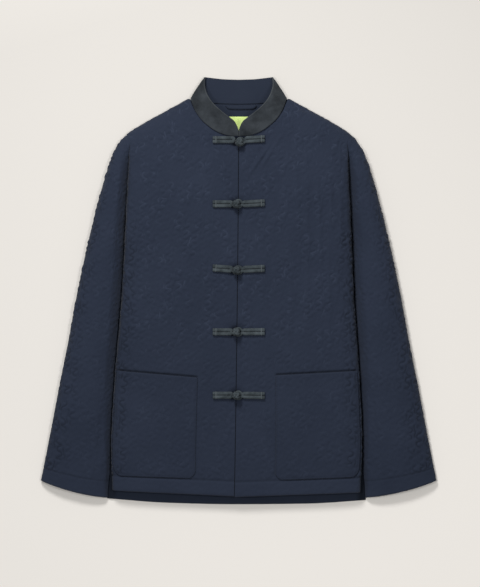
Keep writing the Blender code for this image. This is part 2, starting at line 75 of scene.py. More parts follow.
EDGE_ROUND, OPENING_ROUND, COLLAR_ROUND, THIN_ROUND = 2.0, 1.3, 1.3, 1.1  # rounding of turned edges
EDGE_STEPS, EDGE_END = np.array([0, 0.25, 0.7, 1.3]), 2.1  # grid places on a rounded edge, and its end

# Roll of the fronts
SHOULDER_ROLL = 2.8
SIDE_BIAS = 2.5  # brings a front's fine points closer together at its side
CALM_SHARE = 0.1  # outer share of a front in which its creases fade

# Sleeves
SLEEVE_ROLL = 2.4
SLEEVE_FOLD_Z = 5.0
SLOPE_ROUND = 1.6  # roundness of the slope to the body
CREVICE_Z = 5.4  # height of the edge where it dips to the body
UNDERARM_Z = 3.6
BACK_CLEARANCE = 0.5
SLEEVE_CORNER, CORNER_SHARE = 8.0, 0.4  # rounding under the edges, up to this share of the width
SLEEVE_TOP, SLEEVE_COUNTS = 126.0, (9, 12, 7)  # width of the upper cloth, and grid steps after it
SLEEVE_SHIFT = (5.0, 8.0)  # the quilting is out of step with a front's by this
SLEEVE_FADE = 12.0  # and sets in over this length from the shoulder
EDGE_WALL, WALL_FADE = 1.0, 8.0  # the wall thins to this, over this length, at the long edges
CREASE_FADE = (0.6, 0.85)  # roundness between which the creases set in

# Hems and front edge
HEM_BAND = 27.0
HEM_DIP, HEM_PUFF, CUFF_DIP = 0.7, 0.5, 0.6  # depth of the stitched lines, and puff below the hem's
CUFF_BAND = 26.0
HEM_LEAN = -4.0
LEAN_TOP_Y, LEAN_LENGTH = 225.0, 587.0
FRONT_EDGE_DRIFT = -3.4
HEM_DROP = {1: (1.2, 3.5), -1: (0.0, 0.0)}  # each side's hem hangs lower by this, at its inner and outer end
HEM_DROP_SPAN = 0.45
NECK_Y, FRONT_LENGTH = 250.0, 609.0
OPENING_GAP = 0.6

# Pockets, as shares of the front's width and heights along it
POCKET_INNER, POCKET_OUTER = 0.295, 0.918
POCKET_WIDTH = 146.0
# Heights of each side's pocket: mouth at its inner and outer end, and foot at the same ends
POCKETS = {1: (-147.5, -140.0, -330.5, -325.0), -1: (-151.5, -139.5, -327.5, -322.5)}
POCKET_CORNER = 16.0
POCKET_WALL = 2.2
POCKET_GAP = 0.4
POCKET_STITCH = 2.6  # edge stitching, in from the edge
POCKET_DIP = (0.55, 0.9)  # depth and half width of its line
POCKET_LIFT, LIFT_LENGTH = 1.8, 9.0  # the mouth stands off by this, fading down this length
POCKET_PLACE = 66.0  # where its cloth coordinates start
POCKET_SHIFT = (7.0, 11.0)  # its quilting is out of step with the front's by this
# Lines pressed into the front round a pocket and at its mouth: distance out, depth and half width
POCKET_LINE, MOUTH_LINE = (0.5, 0.9, 1.0), (0.8, 2.0, 1.8)
INNER_LINE, INNER_SIDE = 0.05, (0.34, 0.42)  # its share at the inner side, and where it grows

# Frog closures, from the neck down: height of the bars, places of the knot and of the loop's eye,
# and tilt of the tail and of the loop in degrees
FROGS = (
    (262, 0.7, -5.6, 3.2, -3.2, 0, 3),
    (150.5, -4.6, -0.6, -0.5, 0.3, 0, 3),
    (36.8, -4.3, -2, -0.5, -1.2, -4, 2.5),
    (-71.8, -4.8, 0, -0.5, 0, 0, 0.5),
    (-182, -4.3, 0, -0.5, 0, 0, -1),
)
FROG_REACH, BAR_TIP = 45.2, 0.3  # end of a bar, and its last step
TIP_LENGTH, TIP_TAPER = 0.7, 0.82  # a bar narrows by this at its end
BAR_FADE, REACH_FADE = (11.0, 5.0), 6.0  # the cloth is smooth under a bar
TILT_START = 10.0  # a bar tilts from this far out
CORD_WIDTH, CORD_HEIGHT = 6.0, 4.8
CORD_SPREAD = 3.2
EYE_RADIUS, EYE_CORD = 6.0, 4.6
EYE_OPENING = 24  # half the angle that the eye leaves open, in degrees
EYE_NECK, NECK_PULL, EYE_PULL = 5.5, 3.0, (1.6, 1.2)  # length and curve of the neck between bar and eye
KNOT_LIFT, KNOT_FLATNESS = 10.8, 0.88
KNOT_CORE, KNOT_CORD = 5.5, 1.9
KNOT_TURNS, KNOT_BIGHTS = 3, 4
KNOT_LATITUDE, KNOT_WEAVE = 60, 0.5  # reach of the cord towards the poles, and its rise at a crossing
BAND_PLACE, BAND_LENGTH = 5.0, 1.5  # binding of a bar, in from its end
BAND_OVER = (0.7, 0.9)  # how far it stands out past the cords, in width and in height
BAND_SWELL = 0.07  # its middle is thicker by this share
PINCH_DEPTH, PINCH_WIDTH = 8.0, 9.5  # cloth drawn in under a knot

# Neck trimmings
HANGER_WIDTH, HANGER_HEIGHT = 5.5, 3.0
LABEL_SIZE = (50.0, 24.0)
LABEL_MIDDLE = (-1.0, 292.0)
LABEL_WALL = 0.5

# Stitches
STITCH_LENGTH, STITCH_PITCH, STITCH_WIDTH = 2.8, 4.0, 0.6
STITCH_LIFT, STITCH_TAPER = 0.35, 0.22  # shares of its width and length

# Grids
FINE = 160  # points of a section before it is cut
PROBE = 0.4  # step to either side that gives a section's direction
COARSE_STEP = 4  # the inner face of a wall keeps every fourth point
SHARP_ANGLE = math.radians(70)
UP = (0.0, 0.0, 1.0)


class Table:
    """Rows of named columns. Values between rows follow a monotone cubic over the first column."""

    def __init__(self, columns, *rows):
        names = columns.split()
        self.key = names[0]
        self.columns = {name: np.array(v, float) for name, v in zip(names, zip(*rows))}

    def __call__(self, name, at):
        keys, values = self.columns[self.key], self.columns[name]
        at = np.clip(at, keys[0], keys[-1])
        step = np.diff(keys)
        slope = np.diff(values) / step
        turn = slope[:-1] * slope[1:]
        both = np.where(turn > 0, slope[:-1] + slope[1:], 1)
        bend = np.concatenate([slope[:1], np.where(turn > 0, 2 * turn / both, 0), slope[-1:]])
        i = np.clip(np.searchsorted(keys, at) - 1, 0, len(step) - 1)
        t = (at - keys[i]) / step[i]
        ends = values[i] * (1 + 2 * t) * (1 - t) ** 2 + values[i + 1] * t * t * (3 - 2 * t)
        return ends + step[i] * (bend[i] * t * (1 - t) ** 2 - bend[i + 1] * t * t * (1 - t))


# Crevice and armhole seam between body and sleeve: the body's edge, the gap to the sleeve, how far
# the back reaches past that gap, and how far the cloth is parted there, from 0 (unbroken shoulder)
# to 1 (body and sleeve apart)
SEAM = Table(
    "y      body   gap   tuck  parted",
    (-374, 215.6, 10, 1, 1),
    (-343, 216, 8.5, 1, 1),
    (-318, 216.8, 5, 1, 1),
    (-265, 218.4, 2.6, 1, 1),
    (-220, 216.8, 3, 1, 1),
    (-122, 210.6, 3.2, 1, 1),
    (-24, 202.6, 3.4, 1, 1),
    (24, 199.4, 3.4, 1, 1),
    (95, 196.6, 2.8, 1, 1),
    (150, 194.3, 1.6, 1, 1),
    (190, 192.6, 0.9, 1, 0.97),
    (226, 191, 0.5, 1, 0.7),
    (250, 190, 0.3, -0.3, 0.12),
    (260, 189.5, 0.15, -0.15, 0),
    (271.5, 195.8, 0.15, -0.15, 0),
)
SHOULDER_Y = 271.5  # where the armhole seam reaches the shoulder fold

# Outline of the whole jacket, from cuff over the shoulder to the neck
OUTLINE = Table(
    "y      x",
    (-334, 346.2),
    (-258, 331),
    (-174, 314.9),
    (-90, 298),
    (-6, 282.5),
    (78, 264.4),
    (162, 243.6),
    (204, 231.4),
    (225, 224.5),
    (249.4, 214),
    (263.4, 204.6),
    (271.5, 196.9),
    (277.4, 189.9),
    (291.4, 167.2),
    (305.4, 142.3),
    (319.4, 117),
    (326.4, 104.2),
    (333.4, 91.8),
    (338.4, 83.6),
)

# Roundness of the front's side, from 2 (a circle) up to square, and width of the sleeve's slope to it
ROLL = Table(
    "y    side slope",
    (-350, 9, 5),
    (-290, 8, 9),
    (-220, 6, 14),
    (-60, 5, 17),
    (90, 7, 18),
    (250, 7, 16),
)

# Height of the front over the middle, and of the shoulder fold at its edge
HEIGHT = Table(
    "y      middle fold",
    (-372, 23, 3.3),
    (-330, 25, 3.3),
    (-240, 28.5, 3.3),
    (-100, 32, 3.3),
    (0, 34, 8),
    (150, 34, 8),
    (226, 31.5, 7),
    (250, 30, 5.5),
    (266, 28.8, 4),
    (271.5, 28.4, 3.3),
    (300, 25, 3.3),
    (320, 18.5, 3.3),
    (332, 13, 3.3),
    (338, 9, 3.3),
)

# Sections of a front, from the hem (0) to the neck (1): inner edge on the opening and then
# round the neck, outer edge down the side, armhole and shoulder
FRONT = Table(
    "at     inner_x inner_y outer_y",
    (0, 0, -359, -349),
    (0.45, 0, -46, -44),
    (0.8, 0, 205, 196),
    (0.885, 0, 268.4, 247),
    (0.91, 14, 271.4, 260),
    (0.935, 35, 279.6, 267),
    (0.955, 50, 288, 272),
    (0.972, 63.5, 298.6, 288),
    (0.985, 73.5, 310.5, 305.5),
    (0.994, 80, 322.5, 321),
    (1, 85, 334.6, 335),
)

# Sections of a sleeve, from the shoulder (0) to the cuff (1): bow curves the section towards
# the cuff, and closed brings the underarm seam together
SLEEVE = Table(
    "at    inner_y outer_y height bow  closed",
    (0, 270.9, 271.1, 9, 0, 0),
    (0.02, 261, 262.4, 13, 0, 0),
    (0.045, 250, 250, 18, 0, 0),
    (0.08, 226, 227, 21.5, 0, 0),
    (0.14, 190, 191, 24, 0, 0),
    (0.21, 145, 147, 25.5, 0, 0),
    (0.29, 95, 98, 26, 0, 1),
    (0.45, 0, 4, 26.5, 0, 1),
    (0.62, -100, -94, 26, 0, 1),
    (0.84, -240, -226, 24, 1.2, 1),
    (0.95, -322, -301, 20, 3, 1),
    (1, -362, -332.5, 17, 4.6, 1),
)

# Largest creases pressed into the upper cloth, on each side: ends, depth and half width
CREASES = (
    (224, -150, 243, -300, 2.4, 9),
    (206, 120, 226, 0, 1.6, 10),
    (30, 236, 74, 262, 1.2, 10),
)

# Soft ridges that show only on one side: ends, height and half width
WRINKLES = (
    (60, 262, 14, 196, 2.2, 3.2),
    (78, 276, 34, 206, 1.8, 3.2),
    (98, 240, 106, 60, 1.2, 4),
    (118, 285, 120, -110, 1, 5),
    (136, 215, 144, 20, 1.2, 4),
    (158, 225, 162, 100, 1.2, 3.6),
    (156, 90, 158, -120, 1, 5),
    (176, 190, 180, 40, 1, 4),
    (92, 40, 86, -130, 0.9, 5),
    (-160, 250, -164, 130, 0.5, 6),
    (-30, 250, -70, 190, 0.4, 7),
)

# Collar, from its front end round to the middle of the back: seam side and top edge
COLLAR = Table(
    "at   seam_x seam_y seam_z top_x top_y top_z",
    (0, 0.15, 268.8, 31, 0.3, 280, 32.5),
    (1, 5, 268.8, 31, 3.4, 287.6, 33.5),
    (2, 10.5, 269, 30.9, 7.6, 294.8, 34.2),
    (3, 18.5, 269.8, 30.7, 14.2, 300.2, 34.4),
    (4, 29.5, 272.9, 30.3, 23.4, 307.2, 34),
    (5, 41.5, 278.6, 29.5, 33.8, 315.8, 32.6),
    (6, 53.5, 287, 28.3, 43.9, 325.6, 30.2),
    (7, 64, 296.4, 26.4, 51.4, 335.8, 27),
    (8, 72.6, 308.2, 23, 56.8, 347.6, 21.6),
    (9, 79.4, 322.4, 16.4, 59.4, 360.6, 14.4),
    (10, 83.2, 334.4, 9, 58, 372.6, 7.8),
    (11, 78.2, 334.6, 4, 55.2, 372.6, 2.8),
    (12, 62.6, 330.4, 3.3, 45, 371.4, 2.4),
    (13, 34, 326.7, 3.3, 25, 369.4, 2.4),
    (14, 0, 325.7, 3.3, 0, 368.6, 2.4),
)

COLLAR_HEIGHT = 42.0
COLLAR_STITCH, COLLAR_DIP = 3.2, (0.35, 0.8)  # edge stitching, in from the edge, and its depth and half width
COLLAR_RIM_HIGHLIGHT = (2.4, 0.4)  # the rim is painted lighter within these distances, a painted highlight
COLLAR_PLUMP, LINING_PLUMP = 0.7, 0.3  # puff of the outer band, and the lining's share of it

# Creases of the collar's outer band: ends, depth and half width
COLLAR_CREASES = (
    (-57, 303, -30, 299, 1.1, 2.6),
    (-73, 318, -58, 309, 0.6, 3),
    (40, 314, 80, 324.5, 1, 2.8),
    (22, 292, 44, 296, 0.5, 3),
    (36, 283, 78, 318, 1.5, 7),
)

# Back: hem and the neck edge across the half width
BACK_HEM = Table("x  y", (-226, -363.5), (-120, -371.2), (0, -373.8), (120, -372.8), (226, -366.5))
BACK_NECK = Table("x  y", (0, 329.0), (34, 329.9), (60, 332.2), (74, 333.4), (82, 334.4), (90, 334.6))

# Hanger loop at the neck: middle line of the strap
HANGER = (
    (-21, 324),
    (-19, 321.5),
    (-15, 319.7),
    (4, 319.2),
    (23, 319.7),
    (27.5, 321.5),
    (29.5, 324),
)

# Repeat of the quilting: open waves in staggered rows
WAVE_WIDTH, WAVE_HEIGHT = 16.0, 21.0
QUILT_STEP = 0.4
BROAD_SWAY, FINE_SWAY_ACROSS, FINE_SWAY_UP = 4.0, 3.0, 2.8
UNEVEN_WAVES = 7


def lean(y):
    """Sideways drift of the body, from the armhole down to the hem."""
    return HEM_LEAN * np.clip((LEAN_TOP_Y - y) / LEAN_LENGTH, 0, 1)


def rounded(reach, exponent):
    """Height share of a rounded section, 1 over its middle and 0 at its edge."""
    return (1 - np.clip(reach, 0, 1) ** exponent) ** (1 / exponent)


def dome(x, y):
    """Height of the unbroken cloth from the front's middle out to the shoulder and sleeve fold."""
    fold = HEIGHT("fold", y)
    return fold + (HEIGHT("middle", y) - fold) * rounded(x / OUTLINE("x", y), SHOULDER_ROLL)


def pressed(lines, x, y):
    """Depth of lines pressed into the cloth at a point, faded at their ends."""
    depth = np.zeros_like(x)
    for x0, y0, x1, y1, deep, width in lines:
        run = np.array([x1 - x0, y1 - y0])
        share = ((x - x0) * run[0] + (y - y0) * run[1]) / (run @ run)
        off = ((x - x0) * run[1] - (y - y0) * run[0]) / np.hypot(*run)
        fade = np.clip(1 - (2 * share - 1) ** 2, 0, None)
        depth = depth + deep * fade * np.exp(-((off / width) ** 2))
    return depth


def body_edge(y):
    """Outer edge of a front: the side, the armhole and then the shoulder fold."""
    return np.where(y < SHOULDER_Y, SEAM("body", y), OUTLINE("x", y))


def sleeve_edge(y):
    return SEAM("body", y) + SEAM("gap", y)


def back_edge(y):
    """Outer edge of the back, which closes the gap between front and sleeve from below."""
    return sleeve_edge(y) + SEAM("tuck", y)


def front_ends(side, at):
    """Inner and outer end of a front section in plan."""
    dropped = np.clip(1 - at / HEM_DROP_SPAN, 0, 1)
    inner_y = FRONT("inner_y", at) - HEM_DROP[side][0] * dropped
    outer_y = FRONT("outer_y", at) - HEM_DROP[side][1] * dropped
    drift = FRONT_EDGE_DRIFT * np.clip((NECK_Y - inner_y) / FRONT_LENGTH, 0, 1) ** 2
    inner_x = FRONT("inner_x", at) + OPENING_GAP / 2 + side * (lean(inner_y) + drift)
    outer_x = body_edge(outer_y) + side * lean(outer_y)
    return inner_x, inner_y, outer_x, outer_y


def front_section(side, at):
    """Fine points of one front section, from the opening or neck to the outer edge."""
    inner_x, inner_y, outer_x, outer_y = front_ends(side, at)
    share = 1 - (1 - np.linspace(0, 1, FINE)) ** SIDE_BIAS
    x = inner_x + share * (outer_x - inner_x)
    y = inner_y + share * (outer_y - inner_y)
    parted = SEAM("parted", y)
    side_roll = LANDING + (HEIGHT("middle", y) - LANDING) * rounded(share, ROLL("side", outer_y))
    z = (1 - parted) * dome(x, y) + parted * side_roll
    calm = np.clip((1 - share) / CALM_SHARE, 0, 1)
    return np.column_stack([x, y, z - calm * pressed(CREASES, x, y)])


def sleeve_section(side, at):
    """Fine stretches of one sleeve section: over the top, round the outer fold, under, and up."""
    inner_y, outer_y, bow = SLEEVE("inner_y", at), SLEEVE("outer_y", at), SLEEVE("bow", at)
    inner_x = sleeve_edge(inner_y) + side * lean(inner_y)
    width = OUTLINE("x", outer_y) - inner_x

    def laid(share, z):
        y = inner_y + share * (outer_y - inner_y) - 4 * bow * share * (1 - share)
        return np.column_stack([inner_x + share * width, y, z])

    share = 0.5 - 0.5 * np.cos(np.linspace(0, math.pi, FINE))
    x, y = laid(share, share)[:, :2].T
    parted = SEAM("parted", y)
    puffed = rounded(np.abs(2 * share - 1), SLEEVE_ROLL)
    puffed_z = SLEEVE_FOLD_Z + (SLEEVE("height", at) - SLEEVE_FOLD_Z) * puffed
    dip = rounded(1 - share * width / ROLL("slope", inner_y), SLOPE_ROUND)
    puffed_z = CREVICE_Z + (puffed_z - CREVICE_Z) * dip
    low, high = CREASE_FADE
    creased = np.clip((puffed - low) / (high - low), 0, 1) * pressed(CREASES, x, y)
    z = (1 - parted) * dome(x, y) + parted * puffed_z - creased
    corner = min(SLEEVE_CORNER, CORNER_SHARE * width) / width
    turn = np.linspace(0, math.pi / 2, FINE // 4)
    outer = laid(1 - corner * (1 - np.cos(turn)), z[-1] * (1 - np.sin(turn)))
    flat = laid(np.array([1 - corner, corner]), np.zeros(2))
    closed = SLEEVE("closed", at)
    beside_back = max(0, SEAM("tuck", inner_y) + BACK_CLEARANCE) / width * min(1, 2 * (1 - closed))
    inner_share = beside_back + (corner - beside_back) * (1 - np.sin(turn))
    inner = laid(inner_share, closed * UNDERARM_Z * (1 - np.cos(turn)))
    return laid(share, z), outer, flat, inner


def along(points):
    return np.concatenate([[0], np.cumsum(np.linalg.norm(np.diff(points, axis=0), axis=1))])


def between(values, distance, place):
    """Rows of values at places between the given distances."""
    return np.column_stack([np.interp(place, distance, column) for column in values.T])


def cut(points, places):
    """Points and directions at these distances along a fine section."""
    distance = along(points)
    ahead, behind = (between(points, distance, places + step) for step in (PROBE, -PROBE))
    return between(points, distance, places), ahead - behind


def unit(vectors):
    return vectors / np.linalg.norm(vectors, axis=-1, keepdims=True)


def surface(rows):
    """Points and unit normals of a grid, from the points and directions of its sections."""
    points, directions = (np.array(part) for part in zip(*rows))
    return points, unit(np.cross(directions, np.gradient(points, axis=0)))


def raised(points, height, normals):
    """Points of a grid moved along its normals."""
    return points + np.asarray(height)[:, :, None] * normals


def smoothstep(low, high, value):
    t = np.clip((value - low) / (high - low), 0, 1)
    return t * t * (3 - 2 * t)


def edge_drop(distance, radius=EDGE_ROUND):
    """How far a turned edge has rounded down at this distance from it."""
    return radius - np.sqrt(radius**2 - (radius - np.clip(distance, 0, radius)) ** 2)


def spaced(length, both=False):
    """Places along a length: close together at a rounded edge, and PITCH apart after it."""
    tail = length - EDGE_END if both else length
    count = max(2, round((tail - EDGE_END) / PITCH))
    places = [EDGE_STEPS, np.linspace(EDGE_END, tail, count + 1)]
    return np.concatenate(places + [length - EDGE_STEPS[::-1]] if both else places)


# Quilting


def bend(start, pull, push, end, steps=50):
    """Cubic curve between two points."""
    t = np.linspace(0, 1, steps)[:, None]
    start, pull, push, end = (np.array(p, float) for p in (start, pull, push, end))
    return start * (1 - t) ** 3 + 3 * pull * t * (1 - t) ** 2 + 3 * push * t * t * (1 - t) + end * t**3


def wave_lines():
    """Stitch lines of one open wave with a short stroke beside it, about the middle of its cell."""
    foot = bend((-4.2, -9.6), (6.6, -9.0), (5.4, -1.2), (0.0, 0.0))
    head = bend((0.0, 0.0), (-5.4, 1.2), (-6.6, 9.0), (4.2, 9.6))
    stroke = bend((6.9, -5.4), (9.0, -2.0), (5.0, 1.2), (7.0, 4.6))
    return foot, head, stroke


def quilt_field():
    """Distance to the nearest stitch line over one repeat of two by two waves."""
    repeat = np.array([2 * WAVE_WIDTH, 2 * WAVE_HEIGHT])
    dots = []
    for i, j in itertools.product(range(2), repeat=2):
        middle = np.array([(i + 0.5) * WAVE_WIDTH, (j + 0.5 + 0.5 * i) * WAVE_HEIGHT])
        mirror = (1 if (i + j) % 2 else -1, 1)
        dots += [line * mirror + middle for line in wave_lines()]
    dots = np.concatenate(dots)
    dots = np.concatenate([dots + repeat * shift for shift in itertools.product((-1, 0, 1), repeat=2)])
    across, up = (np.arange(0, length, QUILT_STEP) for length in repeat)
    rows = [np.hypot(across[:, None] - dots[:, 0], y - dots[:, 1]).min(axis=1) for y in up]
    return np.array(rows)


QUILT = quilt_field()


def stitch_distance(a, b):
    """Distance from the nearest quilting line at a point of the cloth, with a hand-guided sway."""
    across = a + BROAD_SWAY * np.sin(b / 41) + FINE_SWAY_ACROSS * np.sin(a / 29 + b / 17)
    up = b + BROAD_SWAY * np.sin(a / 37) + FINE_SWAY_UP * np.sin(a / 15 - b / 27)
    high, wide = QUILT.shape
    u, v = across / QUILT_STEP, up / QUILT_STEP
    i, j = np.floor(v).astype(int), np.floor(u).astype(int)
    s, t = v - i, u - j
    low = QUILT[i % high, j % wide] * (1 - t) + QUILT[i % high, (j + 1) % wide] * t
    top = QUILT[(i + 1) % high, j % wide] * (1 - t) + QUILT[(i + 1) % high, (j + 1) % wide] * t
    return low * (1 - s) + top * s


def uneven(a, b, wave):
    """Smooth irregular values about 0 over the cloth, with features of about this size.

    The waves' turns, sizes and phases have no common measure, so that their sum doesn't repeat.
    """
    total = np.zeros_like(a)
    for k in range(UNEVEN_WAVES):
        turn, size = 2.4 * k, wave * (1 + 0.23 * k)
        along_wave = (a * math.cos(turn) + b * math.sin(turn)) * 2 * math.pi / size
        across_wave = (b * math.cos(turn) - a * math.sin(turn)) * 2 * math.pi / (3.1 * size)
        total += np.sin(along_wave + 1.6 * np.sin(across_wave + 1.3 * k * k) + 2.1 * k)
    return total / UNEVEN_WAVES


def patches(a, b, size, low, high):
    """Share of irregular patches at a point of the cloth, from 0 to 1."""
    return smoothstep(low, high, uneven(a, b, size))


def quilted(a, b, amount, strong, puff=1.0):
    """Rise of the quilted cloth, and marks of its stitch lines: painted shade above 0 where strong, else a
    painted highlight below 0.
    """
    distance = stitch_distance(a, b)
    strong = STRONG_GAIN * strong * patches(a, b, *STRONG_PATCH)
    soft = patches(a, b, *SOFT_PATCH)
    off_line = 1 - np.exp(-((distance / QUILT_SOFTNESS) ** 2))
    rise = QUILT_RISE * amount * (puff * soft + strong) * off_line
    # painted shade along the stitch lines, strongest near the sides where the cloth rolls away
    dark = np.minimum((PAINTED_SHADE_START + PAINTED_SHADE_GROWTH * strong) * strong, MARK_LIMIT)
    broken = patches(b, a, *STROKE_PATCH)
    # painted highlight along broken stretches of the stitch lines, more on the puffed chest
    light = PAINTED_HIGHLIGHT_STROKES * (2 * puff - 1) * soft * broken * np.clip(1 - 2 * strong, 0, 1)
    marks = amount * (dark - light) * np.exp(-((distance / MARK_WIDTH) ** 2))
    return rise + CRINKLE * uneven(a, b, CRINKLE_SIZE), marks


def marked_over(marks, lines):
    """Painted shade and highlight of the quilting, with the painted shade of sewn lines over them."""
    return np.where(lines > 0.05, np.maximum(marks, lines), marks)


def seam_line(distance, depth, width=1.1):
    """Dip of a stitched line at this distance from it."""
    return depth * np.exp(-((distance / width) ** 2))


# Meshes


def add_object(name, verts, faces, material, coords, marks=None):
    """Smooth mesh piece in metres. coords become its cloth UVs, and marks its attribute of painted shade,
    painted highlight and tone.
    """
    mesh = bpy.data.meshes.new(name)
    mesh.from_pydata((verts * MM).tolist(), [], faces)
    mesh.validate()
    mesh.update()
    mesh.shade_smooth()
    mesh.set_sharp_from_angle(angle=SHARP_ANGLE)
    corners = np.empty(len(mesh.loops), int)
    mesh.loops.foreach_get("vertex_index", corners)
    layer = mesh.uv_layers.new(name="cloth")
    layer.data.foreach_set("uv", (coords[corners] * MM).astype(np.float32).ravel())
    if marks is not None:
        layer = mesh.attributes.new("painted_light_and_tone", "FLOAT", "POINT")
        layer.data.foreach_set("value", np.asarray(marks, np.float32).ravel())
    mesh.materials.append(material)
    piece = bpy.data.objects.new(name, mesh)
    bpy.context.scene.collection.objects.link(piece)
    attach(piece, "root")
    return piece


def grid_faces(rows, columns, first=0, flip=False):
    i, j = np.meshgrid(np.arange(rows - 1), np.arange(columns - 1), indexing="ij")
    a = first + i * columns + j
    quads = np.stack([a, a + 1, a + columns + 1, a + columns], axis=-1).reshape(-1, 4)
    return (quads[:, ::-1] if flip else quads).tolist()


def every(count):
    """Numbers of the points that a coarse grid keeps, with the last one."""
    places = list(range(0, count, COARSE_STEP))
    return places if places[-1] == count - 1 else places + [count - 1]


def cloth_wall(name, outer, inner, coords, marks, material, side=1):
    """Closed wall of cloth: a fine outer grid, and a coarse inner one."""
    rows, columns = outer.shape[:2]
    keep_i, keep_j = every(rows), every(columns)
    coarse = np.ix_(keep_i, keep_j)
    verts = np.concatenate([outer.reshape(-1, 3), inner[coarse].reshape(-1, 3)]) * (side, 1, 1)
    uvs = np.concatenate([coords.reshape(-1, 2), coords[coarse].reshape(-1, 2)])
    painted_light_and_tone = np.concatenate([marks.ravel(), np.zeros(len(keep_i) * len(keep_j))])
    flip = side < 0
    first = rows * columns
    faces = grid_faces(rows, columns, 0, flip)
    faces += grid_faces(len(keep_i), len(keep_j), first, not flip)
    wide = len(keep_j)
    sides = (
        (keep_j, lambda j: j, lambda n: n),
        (keep_i, lambda i: i * columns + columns - 1, lambda n: n * wide + wide - 1),
        (keep_j, lambda j: (rows - 1) * columns + j, lambda n: (len(keep_i) - 1) * wide + n),
        (keep_i, lambda i: i * columns, lambda n: n * wide),
    )
    for number, (keep, fine, low) in enumerate(sides):
        for n, (a, b) in enumerate(zip(keep, keep[1:])):
            rim = [fine(k) for k in range(b, a - 1, -1)] + [first + low(n), first + low(n + 1)]
            back = (number in (2, 3)) != flip
            faces.append(rim[::-1] if back else rim)
    return add_object(name, verts, faces, material, uvs, painted_light_and_tone)


def squared(values, power):
    return np.sign(values) * np.abs(values) ** power


def tube(path, ups, width, height, sides, closed=False, power=1.0):
    """Verts and faces of a cord along a path. ups give the side that its height stands on."""
    ups = unit(np.broadcast_to(ups, path.shape))
    if closed:
        way = np.roll(path, -1, axis=0) - np.roll(path, 1, axis=0)
    else:
        way = np.gradient(path, axis=0)
    across = unit(np.cross(unit(way), ups))
    rise = np.cross(across, unit(way))
    width, height = np.broadcast_to(width, len(path)), np.broadcast_to(height, len(path))
    turn = np.linspace(0, 2 * math.pi, sides, endpoint=False)
    reach, lift = squared(np.cos(turn), power)[:, None], squared(np.sin(turn), power)[:, None]
    rings = path[:, None] + across[:, None] * (reach * width[:, None, None] / 2)
    rings = rings + rise[:, None] * (lift * height[:, None, None] / 2)
    faces = []
    count = len(path)
    for i in range(count if closed else count - 1):
        for k in range(sides):
            a, b = i * sides + k, i * sides + (k + 1) % sides
            c, d = ((i + 1) % count) * sides + (k + 1) % sides, ((i + 1) % count) * sides + k
            faces.append((a, d, c, b))
    if not closed:
        faces.append(tuple(range(sides)))
        faces.append(tuple(range(count * sides - 1, (count - 1) * sides - 1, -1)))
    return rings.reshape(-1, 3), faces


def joined(parts):
    """One list of verts and faces from several."""
    verts, faces = [], []
    for points, polygons in parts:
        first = sum(len(v) for v in verts)
        verts.append(np.asarray(points))
        faces += [tuple(first + k for k in polygon) for polygon in polygons]
    return np.concatenate(verts), faces


def stitches(line, ups):
    """A run of thread stitches along a line that lies on the cloth."""
    distance = along(line)
    places = np.arange(STITCH_PITCH / 2, distance[-1] - STITCH_PITCH / 2, STITCH_PITCH)
    up = unit(between(ups, distance, places))
    start, end = (between(line, distance, places + way * STITCH_LENGTH / 2) for way in (-1, 1))
    across = unit(np.cross(end - start, up))
    lift = STITCH_LIFT * STITCH_WIDTH
    faces = [(0, 1 + k, 1 + (k + 1) % 4) for k in range(4)]
    faces += [(1 + k, 5 + k, 5 + (k + 1) % 4, 1 + (k + 1) % 4) for k in range(4)]
    faces += [(9, 5 + (k + 1) % 4, 5 + k) for k in range(4)]
    parts = []
    for s, e, n, w in zip(start, end, up, across):
        ring = [w * STITCH_WIDTH / 2, n * lift * 2, -w * STITCH_WIDTH / 2, -n * lift]
        near, far = s + STITCH_TAPER * (e - s), e - STITCH_TAPER * (e - s)
        verts = [s - n * lift] + [near + r for r in ring] + [far + r for r in ring] + [e - n * lift]
        parts.append((np.array(verts), faces))
    return joined(parts)


# Materials

MIX_INPUTS, MIX_OUTPUT = (0, 6, 7), 2  # sockets of a colour mix: its share and two colours, and its result
CLOTH_SHEEN = 0.06
MOTTLE_SHARE, WEAVE_SHARE, LIGHT_SHARE = 0.6, 0.12, 0.2  # what makes the light colour of a cloth show
BUMP_STRENGTH, BUMP_DEPTH = 0.25, 0.0004
PAINTED_HIGHLIGHT_COLOUR, PAINTED_HIGHLIGHT_SHARE = (0.043, 0.056, 0.092), 0.3  # painted highlight: lines marked below 0 are painted this lighter colour
# painted shade: colour of stitch grooves, pocket outlines and the crevices beside the sleeves
PAINTED_SHADE_COLOUR = (0.003, 0.005, 0.010)


def new_material(name, roughness, sheen):
    made = bpy.data.materials.new(name)
    made.use_nodes = True
    shader = made.node_tree.nodes["Principled BSDF"]
    shader.inputs["Roughness"].default_value = roughness
    shader.inputs["Sheen Weight"].default_value = sheen
    shader.inputs["Sheen Roughness"].default_value = 0.5
    shader.inputs["Specular IOR Level"].default_value = 0.15
    return made, made.node_tree, shader


def feed(tree, socket, value):
    """Link a node's output to a socket, or set the socket's own value."""
    if hasattr(value, "is_output"):
        tree.links.new(value, socket)
    else:
        socket.default_value = value


def add_node(tree, kind, settings=None, **inputs):
    made = tree.nodes.new(kind)
    for key, value in (settings or {}).items():
        setattr(made, key, value)
    for key, value in inputs.items():
        feed(tree, made.inputs[key], value)
    return made


def math_node(tree, operation, *values):
    made = add_node(tree, "ShaderNodeMath", {"operation": operation})
    for socket, value in zip(made.inputs, values):
        feed(tree, socket, value)
    return made.outputs[0]


def mixed(tree, share, first, second):
    """Colour between two colours or sockets."""
    made = add_node(tree, "ShaderNodeMix", {"data_type": "RGBA"})
    for number, value in zip(MIX_INPUTS, (share, first, second)):
        feed(tree, made.inputs[number], value)
    return made.outputs[MIX_OUTPUT]


